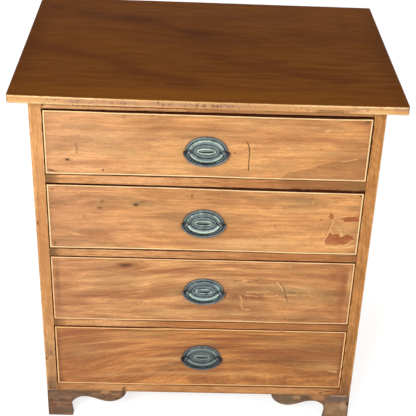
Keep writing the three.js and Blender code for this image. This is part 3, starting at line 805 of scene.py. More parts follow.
@dataclass
class TopBoard:
    """Thin top with rounded, dented edges, lying a little crooked on its case.

    Each stretch names the places along the front edge between which that kind of wear sets in and ends.
    """

    radius: float = 2.6
    corner_steps: int = 6
    stations: int = 620
    top_rows: int = 60
    face_rows: int = 10
    caps: Pair = (4.0, 6.5)
    nicks: tuple[Pair, ...] = (
        (-106.0, 1.6), (-97.0, 1.2), (-176.0, 0.9), (62.0, 0.8), (205.0, 1.1), (330.0, 1.0),
    )
    nick_length: float = 4.0
    slid: float = 1.5
    ahead: float = 2.5
    behind: float = 4.0
    tilt: float = 0.0066
    skew: float = 0.0025
    hollow: float = 0.8
    rise_at_ends: float = 2.2
    corner: float = 7.0
    seat_front: Pair = (-279.0, -258.0)
    seat_sides: Pair = (390.0, 384.0)
    dull_arris: Stretch = (-225.0, -190.0, 150.0, 190.0)
    right_end: Stretch = (300.0, 325.0, 375.0, 395.0)
    golden: Stretch = (50.0, 130.0, 280.0, 330.0)
    clear: Stretch = (322.0, 345.0, 375.0, 395.0)
    rubbed: Stretch = (-70.0, -40.0, 45.0, 75.0)
    browned: Stretch = (-30.0, 20.0, 150.0, 200.0)
    stained: Stretch = (208.0, 236.0, 272.0, 302.0)

    def section(self, half_y: float, half_z: float, inset: np.ndarray) -> np.ndarray:
        """Rounded rectangle around each station, drawn in by the inset.

        Each quarter circle of the corner radius sits in the corner of the inset rectangle, and straight
        runs between them get points that crowd towards the corners.

        Args:
            half_y: Half the board's depth.
            half_z: Half its thickness.
            inset: Inset at each station.

        Returns:
            Array of shape (stations, points around, 2) with y and z.
        """
        turn = np.linspace(0, np.pi / 2, self.corner_steps)
        crowd = np.array([0.004, 0.012, 0.03, 0.08, 0.2, 0.5, 0.8, 0.92, 0.97, 0.988, 0.996])
        top = np.concatenate([crowd[:3], np.linspace(0.04, 0.96, self.top_rows), crowd[-3:]])
        face = np.linspace(0.08, 0.92, self.face_rows)
        spreads = (top, face, crowd, np.array([0.2, 0.5, 0.8]))
        radius = np.maximum(self.radius - inset, 0.3)[:, None]
        y, z = half_y - inset[:, None], half_z - inset[:, None]
        parts = []
        for quarter, spread in enumerate(spreads):
            angle = turn + quarter * np.pi / 2
            sign_y, sign_z = ((1, 1), (-1, 1), (-1, -1), (1, -1))[quarter]
            arc_y = sign_y * (y - radius) + radius * np.cos(angle)
            arc_z = sign_z * (z - radius) + radius * np.sin(angle)
            parts.append(np.stack([arc_y, arc_z], -1))
            next_y, next_z = ((-1, 1), (-1, -1), (1, -1), (1, 1))[quarter]
            corner = next_y * (y - radius), next_z * (z - radius)
            ahead = angle[-1]
            end_y = corner[0] + radius * np.cos(ahead)
            end_z = corner[1] + radius * np.sin(ahead)
            run_y = arc_y[:, -1:] + spread * (end_y - arc_y[:, -1:])
            run_z = arc_z[:, -1:] + spread * (end_z - arc_z[:, -1:])
            parts.append(np.stack([run_y, run_z], -1))
        return np.concatenate(parts, 1)

    def wear(self, places: np.ndarray, low: np.ndarray, high: np.ndarray) -> np.ndarray:
        """How far each point is worn back: slow waves along every arris, and a bell for each nick.

        Args:
            places: Places of the points.
            low: Lowest corner of the board.
            high: Highest corner of the board.

        Returns:
            Depth of the wear in millimetres.
        """
        x, y, z = np.moveaxis(places, -1, 0)
        near_y = np.minimum(y - low[1], high[1] - y)
        near_z = np.minimum(z - low[2], high[2] - z)
        arris = np.exp(-((near_y / 4) ** 2) - (near_z / 4) ** 2)
        waves = 0.35 + 0.35 * rough_noise(x / 23, z / 9 + (y > 0) * 31, 5)
        dents = np.clip(rough_noise(x / 6, z / 5 + (y > 0) * 17, 9) - 0.45, 0, 1) * 2.2
        nicks = sum(deep * bell(x, at, self.nick_length) for at, deep in self.nicks)
        front = (y < low[1] + 20) & (z > (low[2] + high[2]) / 2)
        return arris * (waves + dents + nicks * front)

    def arris(self, x: np.ndarray, z: np.ndarray, up: np.ndarray) -> np.ndarray:
        """Paleness of the front edge: pale worn wood at the upper arris and a painted highlight along the
        lower arris, each broken up by a noise, and pale ends.

        Args:
            x: Places of the points.
            z: Places of the points.
            up: Share of the edge's height at them.

        Returns:
            The paleness at the points.
        """
        pale = bell(up, 0.87, 0.07) * (0.85 + 0.4 * rough_noise(x / 9, z / 9, 33))
        pale *= 1 - 0.5 * between(x, self.dull_arris)
        ends = soft_step(x, -290, -350) + between(x, self.right_end)
        pale += 0.18 * ends * soft_step(up, 0.7, 0.4)
        # Painted highlight along the lower arris.
        lower = soft_step(x, -40, -160) + 0.8 * soft_step(x, 290, 330)
        pale += 0.6 * lower * bell(up, 0.13, 0.08) * (0.85 + 0.4 * rough_noise(x / 9, z / 9, 34))
        return np.clip(pale, 0, 1)

    def band(self, x: np.ndarray, z: np.ndarray, up: np.ndarray, left: float) -> np.ndarray:
        """Rubbed band of the front edge: a bell in its height, patchy, and weak where it is golden or clear.

        Args:
            x: Places of the points.
            z: Places of the points.
            up: Share of the edge's height at them.
            left: Left end of the board.

        Returns:
            The band's strength at the points.
        """
        patchy = soft_step(rough_noise(x / 28, z / 12, 37), -0.7, 0.1)
        reach = soft_step(x, left + 45, left + 120) * (1 - 0.75 * between(x, self.golden))
        right = soft_step(x, 290, 330)
        band = bell(up, 0.5 + 0.2 * right, 0.27 - 0.1 * right)
        return band * (0.35 + 0.65 * patchy) * (0.15 + 0.85 * reach) * (1 - 0.7 * between(x, self.clear))

    def darkness(self, x: np.ndarray, z: np.ndarray, up: np.ndarray, band: np.ndarray) -> np.ndarray:
        """Darkness of the front edge: specks, upright ticks in the band, nicks, painted shade where its lower
        arris turns under, and stains.

        Args:
            x: Places of the points.
            z: Places of the points.
            up: Share of the edge's height at them.
            band: Strength of the rubbed band at them.

        Returns:
            The darkness at the points.
        """
        ticks = soft_step(lattice_noise(x / 1.5, z / 9, 35), -0.1, 0.5)
        specks = soft_step(rough_noise(x / 4, z / 2.2, 39), 0.42, 0.62)
        nicks = sum(
            0.4 * deep * bell(x, at, 1 + deep) * bell(up, 0.5 + 0.2 * np.sin(at), 0.16)
            for at, deep in self.nicks
        )
        # Painted shade where the edge turns under the board.
        below = soft_step(up, 0.07, 0.0)
        brown = 0.08 * between(x, self.browned) + 0.5 * between(x, self.stained) * soft_step(up, 0.52, 0.36)
        rubbing = (0.3 + 0.3 * between(x, self.rubbed)) * band * ticks
        return np.clip(0.55 * specks + rubbing + nicks + below + brown, 0, 0.9)

    def paint(self, places: np.ndarray, low: np.ndarray, high: np.ndarray) -> Painted:
        """Painted values of the board: its marks seen from above, and the worn wood of its front edge with a
        painted highlight and painted shade at its lower arris.

        Args:
            places: Places of the points.
            low: Lowest corner of the board.
            high: Highest corner of the board.

        Returns:
            The value of each tone at the points.
        """
        x, y, z = np.moveaxis(places, -1, 0)
        up = (z - low[2]) / (high[2] - low[2])
        above = soft_step(up, 0.8, 0.97) * soft_step(y - low[1], 0.8, 3.0)
        painted = {key: value * above for key, value in painted_tones(TOP_MARKS, x, y).items()}
        ragged = 0.5 * rough_noise(x / 7, z / 3, 31)
        edge = soft_step(y - low[1] + ragged, 2.4, 1.0) * soft_step(up + 0.05 * ragged, 0.97, 0.88)
        painted[Tone.BARE.value] = edge
        painted[Tone.PALE.value] = edge * self.arris(x, z, up)
        band = self.band(x, z, up, low[0])
        lay_over(painted, Tone.GREY, edge * band)
        lay_over(painted, Tone.DARK, edge * self.darkness(x, z, up, band))
        return painted

    def settle(self, rings: np.ndarray, low: np.ndarray, high: np.ndarray) -> None:
        """Rounds the front corners in plan, hollows the front edge's upper side and tilts the board.

        In each corner's square a point moves towards the square's inner corner, so that the square's outline
        becomes a quarter circle. The underside isn't tilted where it is seated on the case.

        Args:
            rings: Places of the points, which are changed.
            low: Lowest corner of the board.
            high: Highest corner of the board.
        """
        x, y, z = (rings[..., k] for k in range(3))
        for side, end in ((-1, -low[0]), (1, high[0])):
            across = side * x - (end - self.corner)
            ahead = low[1] + self.corner - y
            inside = (across > 0) & (ahead > 0)
            share = np.maximum(across, ahead)[inside] / np.hypot(across, ahead)[inside]
            y[inside] = low[1] + self.corner - ahead[inside] * share
            x[inside] = side * (end - self.corner + across[inside] * share)
        front = soft_step(y, 0.0, low[1] + 30)
        up = (z - low[2]) / (high[2] - low[2])
        z += front * up * (self.rise_at_ends * (x / high[0]) ** 2 - self.hollow)
        seat = soft_step(y, *self.seat_front) * soft_step(np.abs(x), *self.seat_sides)
        z -= self.tilt * x * (1 - seat * (1 - up))
        x -= self.skew * y

    def build(self) -> None:
        """Builds the board: the rounded section carried along X, drawn in at both ends.

        The old board lies a little to the left and lower on the right, and its front and back edges stand a
        little further out than the CAD has them. Two rings drawn in further close each end.
        """
        low, high = box_mm("top_board")
        low, high = low - (self.slid, self.ahead, 0), high + (-self.slid, self.behind, 0)
        middle, half = (low + high) / 2, (high - low) / 2
        turn = np.linspace(0, np.pi / 2, self.corner_steps)
        end_inset = self.radius * (1 - np.cos(turn))
        end_x = half[0] - self.radius + self.radius * np.sin(turn)
        run = np.linspace(-end_x[0], end_x[0], self.stations)[1:-1]
        caps = np.full(2, half[0])
        x = np.concatenate([-caps, -end_x[::-1], run, end_x, caps])
        inset = np.concatenate([self.caps[::-1], end_inset[::-1], np.zeros(run.size), end_inset, self.caps])
        section = self.section(half[1], half[2], inset)
        rings = np.concatenate([np.broadcast_to(x[:, None, None], (*section.shape[:2], 1)), section], -1)
        rings += middle
        worn = self.wear(rings, low, high)
        inward = np.sign(middle - rings) * np.array([0, 1, 1])
        rings += inward * worn[..., None] / np.sqrt(2)
        painted = self.paint(rings, low, high)
        self.settle(rings, low, high)
        shell = skin(rings)
        shell.values = {key: with_poles(value) for key, value in painted.items()}
        piece = shell.to_object("top_board_worn", 0.6)
        material = TOP_WOOD.material("top_board", Grain.ALONG_X)
        bodied(piece, "case", "top_board", material)


CASE_FRONT = -256.0
SPOT_REACH = 4.0
OUTER_FACE = 379.0
FEET_TOP = 84
CASE_TOP = 893
OUTWARD = {
    -1: ((0, 1.7), (FEET_TOP, 1.4), (CASE_TOP, 3.0)),
    1: ((0, 2.8), (FEET_TOP, 1.7), (CASE_TOP, 0.8)),
}
SLANTS = {"upper_rail": (684.8, -0.35, -0.0052), "middle_rail": (512.6, -0.9, -0.0025)}


def settle(mesh: bpy.types.Mesh, node: str) -> None:
    """Moves the case's outer faces out a little and slants two rails' edges, as the old case has settled.

    Args:
        mesh: Mesh of the board.
        node: Its CAD node.
    """
    points = read_points(mesh) / MM
    x, z = points[:, 0], points[:, 2]
    for side, line in OUTWARD.items():
        outer = side * x > OUTER_FACE
        x[outer] += side * np.interp(z[outer], *zip(*line))
    if node in SLANTS:
        height, shift, slope = SLANTS[node]
        edge = np.abs(z - height) < 1.0
        z[edge] += shift + slope * x[edge]
    write_points(mesh, points * MM)


@dataclass(frozen=True)
class Board:
    """One case board that keeps its CAD shape with eased edges."""

    node: str
    finish: Wood
    grain: Grain
    slot: str
    ease: float = 0.9
    soils_and_shades: tuple[SoilAndShade, ...] = ()
    spots: tuple[Spot, ...] = ()

    def build(self, body: str = "case") -> None:
        """Builds the eased copy and stands it in for the CAD node."""
        material = self.finish.material(self.node, self.grain, self.soils_and_shades, self.spots)
        piece = eased(self.node, self.ease)
        if body == "case":
            settle(piece.data, self.node)
        bodied(piece, body, self.node, material)


GREY = (0.55, 0.43, 0.33)
# Dark brown for small dark marks, and for painted shade on the faces round the gaps beside the drawers.
SOOT_AND_GAP_SHADE = (0.21, 0.07, 0.03)
# Painted shade on the ends of each drawer front's core, in the gaps beside the stiles.
SIDE_GAP_SHADE = (0.34, 0.15, 0.07)
RUST = (0.50, 0.27, 0.16)
BARK = (0.33, 0.24, 0.17)
SLATE = (0.34, 0.29, 0.28)
GOLD = (0.74, 0.55, 0.36)
# Painted shade on the inner return faces of the front feet.
RETURN_FACE_SHADE = (0.14, 0.12, 0.13)
MOSS = (0.44, 0.31, 0.19)


def front_spot(
    x: float, z: float, half_x: float, half_z: float, colour: Colour, strength: float = 0.8
) -> Spot:
    """Spot on the case's front, for marks and for painted shadow."""
    return Spot((x, CASE_FRONT, z), (half_x, SPOT_REACH, half_z), colour, strength)


def rail_soils_and_shades(low: float, high: float, brown: Ramp, dark: Ramp) -> tuple[SoilAndShade, ...]:
    """Dirt and painted shade of a rail: dark ends and browning, and painted shade along its upper edge under
    the drawer above and along its lower edge over the gap below.

    Args:
        low: Height of its lower face.
        high: Height of its upper face.
        brown: Start, end and strength of the browning towards the right.
        dark: Start, end and strength of the darkness of its right end.

    Returns:
        The soils.
    """
    return (
        SoilAndShade(Axis.X, -322, -352, MOSS, 0.8),
        SoilAndShade(Axis.X, brown[0], brown[1], (0.70, 0.44, 0.24), brown[2]),
        SoilAndShade(Axis.X, dark[0], dark[1], MOSS, dark[2]),
        # Painted shade along the rail's upper and lower edges, at the gaps next to the drawers.
        SoilAndShade(Axis.Z, high - 1.6, high - 0.6, SOOT_AND_GAP_SHADE, 0.85),
        SoilAndShade(Axis.Z, low + 1.4, low + 0.5, SOOT_AND_GAP_SHADE, 0.9),
    )


@dataclass
class Carcase:
    """Sides, rails, boards and feet of the case."""

    boards: tuple[Board, ...] = (
        Board("left_side", STILE_WOOD, Grain.ALONG_Z, "case_wood",
              soils_and_shades=(SoilAndShade(Axis.Z, 420, 90, GREY, 0.4), SoilAndShade(Axis.Z, 140, 86, (0.44, 0.33, 0.26), 0.8),
                     # Painted shade on the inner face beside the drawers, in the side gap.
                     SoilAndShade(Axis.X, -357.0, -355.6, (0.66, 0.31, 0.09), 0.95)),
              spots=(front_spot(-377.5, 579, 3, 9, SOOT_AND_GAP_SHADE), front_spot(-374, 194.5, 5, 2, SOOT_AND_GAP_SHADE),
                     front_spot(-365, 201.5, 6, 1.8, SOOT_AND_GAP_SHADE), front_spot(-378, 186, 2, 6, SOOT_AND_GAP_SHADE),
                     front_spot(-369, 203, 12, 14, GREY, 0.5),
                     Spot((-368, CASE_FRONT, 500), (30, 40, 210), (0.68, 0.44, 0.25), 0.42),
                     # Painted shade on the inner face beside the bottom drawer.
                     Spot((-355.2, -254, 190), (1.5, 12, 110), SOOT_AND_GAP_SHADE, 0.85))),
        Board("right_side", GOLDEN_WOOD, Grain.ALONG_Z, "case_wood",
              soils_and_shades=(SoilAndShade(Axis.Z, 460, 100, (0.58, 0.38, 0.20), 0.6),
                     SoilAndShade(Axis.Z, 700, 900, (0.68, 0.45, 0.24), 0.3),
                     SoilAndShade(Axis.Z, 150, 88, (0.50, 0.33, 0.23), 0.75),
                     # Painted shade on the inner face beside the drawers, in the side gap.
                     SoilAndShade(Axis.X, 356.9, 355.6, (0.60, 0.27, 0.09), 0.95)),
              # Painted shade on the inner face beside the top drawer.
              spots=(Spot((355.2, -254, 790), (1.8, 12, 90), SOOT_AND_GAP_SHADE, 0.95),)),
        Board("top_rail", TOP_RAIL_WOOD, Grain.ALONG_X, "case_wood", 0.7,
              # The first darkening is painted shade along the rail's underside, over the gap above drawer 1.
              soils_and_shades=(SoilAndShade(Axis.Z, 868.8, 867.8, SOOT_AND_GAP_SHADE, 0.9), SoilAndShade(Axis.X, -260, 60, (0.72, 0.47, 0.27), 0.65),
                     # Painted shadow of the top board's overhang on the rail's upper part.
                     SoilAndShade(Axis.Z, 875, 883, (0.56, 0.32, 0.16), 0.38)),
              # Two dark red-brown lines just under the top board's edge: painted shadow of its overhang.
              spots=(front_spot(-130, 875.5, 210, 2.4, (0.50, 0.23, 0.10), 0.9),
                     front_spot(190, 876, 170, 2.4, (0.50, 0.23, 0.10), 0.85),
                     front_spot(-352, 878, 6, 9, RUST, 0.7),
                     front_spot(351, 876, 5, 8, RUST, 0.8))),
        Board("upper_rail", RAIL_WOOD, Grain.ALONG_X, "case_wood", 0.7,
              soils_and_shades=rail_soils_and_shades(684.8, 707.8, (-190, 140, 0.7), (110, 200, 0.42)),
              spots=(front_spot(-150, 697, 110, 9, (0.97, 0.75, 0.54), 0.35),
                     Spot((335, CASE_FRONT, 697), (44, 6, 22), (0.52, 0.38, 0.20), 0.5))),
        Board("middle_rail", RAIL_WOOD, Grain.ALONG_X, "case_wood", 0.7,
              soils_and_shades=(SoilAndShade(Axis.X, -150, -60, (0.66, 0.41, 0.22), 0.38),
                     *rail_soils_and_shades(491.9, 512.6, (-70, 260, 0.7), (270, 350, 0.4)))),
        Board("lower_rail", RAIL_WOOD, Grain.ALONG_X, "case_wood", 0.7,
              soils_and_shades=rail_soils_and_shades(289.6, 309.4, (-175, -90, 0.78), (310, 350, 0.45)),
              spots=(front_spot(-225, 299, 62, 10, (0.99, 0.76, 0.54), 0.35),
                     front_spot(215, 299, 70, 12, (0.55, 0.36, 0.22), 0.3))),
        Board("bottom_rail", BOTTOM_RAIL_WOOD, Grain.ALONG_X, "case_wood", 0.9,
              soils_and_shades=(SoilAndShade(Axis.X, -335, -354, RUST, 0.5), SoilAndShade(Axis.X, 320, 352, RUST, 0.75),
                     # The last darkening is painted shade along the rail's upper edge, in the gap under
                     # drawer 4.
                     SoilAndShade(Axis.Z, 88, 84.5, BARK, 0.6), SoilAndShade(Axis.Z, 106.4, 107.4, SOOT_AND_GAP_SHADE, 0.7)),
              spots=(front_spot(-195, 97, 90, 12, (0.93, 0.70, 0.47), 0.35),
                     front_spot(170, 96, 150, 12, (0.93, 0.70, 0.47), 0.22),
                     front_spot(-189, 91, 7, 9, BARK, 0.75), front_spot(300, 101, 26, 1.1, RUST, 0.9),
                     front_spot(326, 98, 14, 2.4, BARK, 0.9), front_spot(307, 93.5, 7, 2.6, BARK, 0.85))),
        Board("front_left_foot_face", FOOT_WOOD, Grain.ALONG_X, "foot_wood", 2.0,
              soils_and_shades=(SoilAndShade(Axis.Z, 78, 83, (0.47, 0.34, 0.24), 0.7),
                     SoilAndShade(Axis.Z, 60, 10, (0.43, 0.32, 0.26), 0.3)),
              spots=(front_spot(-374, 84, 12, 9, SLATE, 0.95), front_spot(-366, 36, 9, 10, RUST, 0.6),
                     front_spot(-236, 80, 17, 8, GOLD), front_spot(-212, 74, 16, 3, GOLD, 0.5),
                     front_spot(-258, 72, 20, 3, GOLD, 0.35), front_spot(-189, 74, 6, 20, BARK, 0.9),
                     front_spot(-300, 76, 34, 6, BARK, 0.5), front_spot(-345, 52, 12, 8, SLATE, 0.6),
                     # Painted shade on the left foot's inner return face and its front corner.
                     Spot((-317, -245, 34), (4, 17, 44), RETURN_FACE_SHADE, 0.95))),
        Board("front_right_foot_face", FOOT_WOOD, Grain.ALONG_X, "foot_wood", 2.0,
              soils_and_shades=(SoilAndShade(Axis.Z, 62, 54, (0.66, 0.51, 0.36), 0.6),),
              spots=(front_spot(220, 66, 28, 22, (0.45, 0.38, 0.27), 0.8),
                     front_spot(248, 76, 14, 8, GOLD, 0.7), front_spot(272, 75, 16, 7, BARK, 0.7),
                     front_spot(304, 77, 24, 13, (0.71, 0.49, 0.31), 0.9),
                     front_spot(353, 71, 34, 13, (0.42, 0.35, 0.31), 0.85),
                     front_spot(352, 82.4, 32, 1.6, (0.74, 0.64, 0.55), 0.8),
                     front_spot(369, 49, 11, 17, (0.77, 0.64, 0.52), 0.55),
                     front_spot(341, 36, 18, 20, (0.66, 0.53, 0.38), 0.5),
                     front_spot(352, 30, 12, 8, (0.58, 0.40, 0.25), 0.6),
                     Spot((380, CASE_FRONT, 58), (6, 6, 11), SOOT_AND_GAP_SHADE, 0.95),
                     # Painted shade on the right foot's inner return face and its front corner.
                     Spot((319, -245, 34), (4, 17, 44), RETURN_FACE_SHADE, 0.95))),
        *(Board(node, FOOT_WOOD, Grain.ALONG_Y, "foot_wood", 1.2)
          for node in ("front_left_foot_side", "front_right_foot_side", "rear_left_foot", "rear_right_foot")),
    )
    plain: tuple[str, ...] = (
        "upper_dust_board", "middle_dust_board", "lower_dust_board", "bottom_board", "lower_back_board",
        "upper_back_board",
    )

    def build(self) -> None:
        """Builds every board, and dresses the plain ones in place."""
        for board in self.boards:
            board.build()
        for node in self.plain:
            dress(node, INNER_WOOD.material(node, Grain.ALONG_X))


def dress(node: str, material: bpy.types.Material) -> None:
    """Puts a material on a CAD node that stays as it is."""
    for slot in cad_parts[node].material_slots:
        slot.material = material
    LOG.info("%s keeps its CAD shape", node)


@dataclass(frozen=True)
class Blot:
    """Soft oval mark, placed from the middle of the drawer's lower edge."""

    tone: Tone
    x: float
    z: float
    half_length: float
    half_height: float
    strength: float = 0.6
    slope: float = 0.0
    ragged: float = 0.35
    depth: float = 0.0

    def cover(self, x: np.ndarray, z: np.ndarray) -> np.ndarray:
        """Falls off as exp(-r^2), with r the scaled distance from its sloping middle line, roughened."""
        across = x - self.x
        up = z - self.z - self.slope * across
        reach = np.hypot(across / self.half_length, up / self.half_height)
        reach += self.ragged * rough_noise(x / (4 + self.half_length / 3), z / (2 + self.half_height / 3), 3)
        return self.strength * bell(np.maximum(reach, 0), 0, 1)


@dataclass(frozen=True)
class Line:
    """Crack or scratch along a chain of points."""

    tone: Tone
    points: tuple[Pair, ...]
    width: float = 1.4
    strength: float = 0.9
    depth: float = 0.0

    def cover(self, x: np.ndarray, z: np.ndarray) -> np.ndarray:
        """Falls off with the distance from the nearest stretch, thinner and thicker by a noise."""
        grain = 1 + 3 * self.width
        width = self.width * (1 + 0.4 * lattice_noise(x / grain, z / grain, 21))
        return self.strength * bell(chain_distance(x, z, self.points), 0, width)


@dataclass(frozen=True)
class Patch:
    """Ragged patch inside an outline, with a sharp edge."""

    tone: Tone
    corners: tuple[Pair, ...]
    strength: float = 1.0
    ragged: float = 2.5
    soft: float = 0.8
    depth: float = 0.0

    def cover(self, x: np.ndarray, z: np.ndarray) -> np.ndarray:
        """Steps from 0 to 1 across the outline, which a noise makes ragged."""
        closed = (*self.corners, self.corners[0])
        distance = chain_distance(x, z, closed)
        inside = np.zeros(x.shape, bool)
        for (x0, z0), (x1, z1) in zip(closed[:-1], closed[1:]):
            crossing = (z0 > z) != (z1 > z)
            rise = z1 - z0 if z1 != z0 else 1.0
            inside ^= crossing & (x < (x1 - x0) * (z - z0) / rise + x0)
        signed = np.where(inside, distance, -distance) + self.ragged * rough_noise(x / 6, z / 4, 14)
        return self.strength * soft_step(signed, -self.soft, self.soft)


Mark = Blot | Line | Patch


def chain_distance(x: np.ndarray, z: np.ndarray, points: tuple[Pair, ...]) -> np.ndarray:
    """Distance from each place to the nearest stretch of a chain of points."""
    nearest = np.full(x.shape, np.inf)
    for (x0, z0), (x1, z1) in zip(points[:-1], points[1:]):
        run_x, run_z = x1 - x0, z1 - z0
        share = np.clip(((x - x0) * run_x + (z - z0) * run_z) / (run_x**2 + run_z**2), 0, 1)
        nearest = np.minimum(nearest, np.hypot(x - x0 - share * run_x, z - z0 - share * run_z))
    return nearest


@dataclass(frozen=True)
class Swell:
    """Place where the grain runs round a knot: the lines are pushed away from its middle."""

    x: float
    z: float
    half_length: float
    half_height: float
    pull: float = 0.8

    def push(self, x: np.ndarray, z: np.ndarray) -> np.ndarray:
        """The pull times the height over the middle, falling off as exp(-r^2)."""
        reach = ((x - self.x) / self.half_length) ** 2 + ((z - self.z) / self.half_height) ** 2
        return self.pull * (z - self.z) * np.exp(-reach)


D, P, O, R, B = Tone.DARK, Tone.PALE, Tone.OLIVE, Tone.RED, Tone.BARE

WEDGE = ((165, 4), (177, 16.3), (229, 30.4), (272, 44), (308, 50.6), (352, 58), (352, 4))

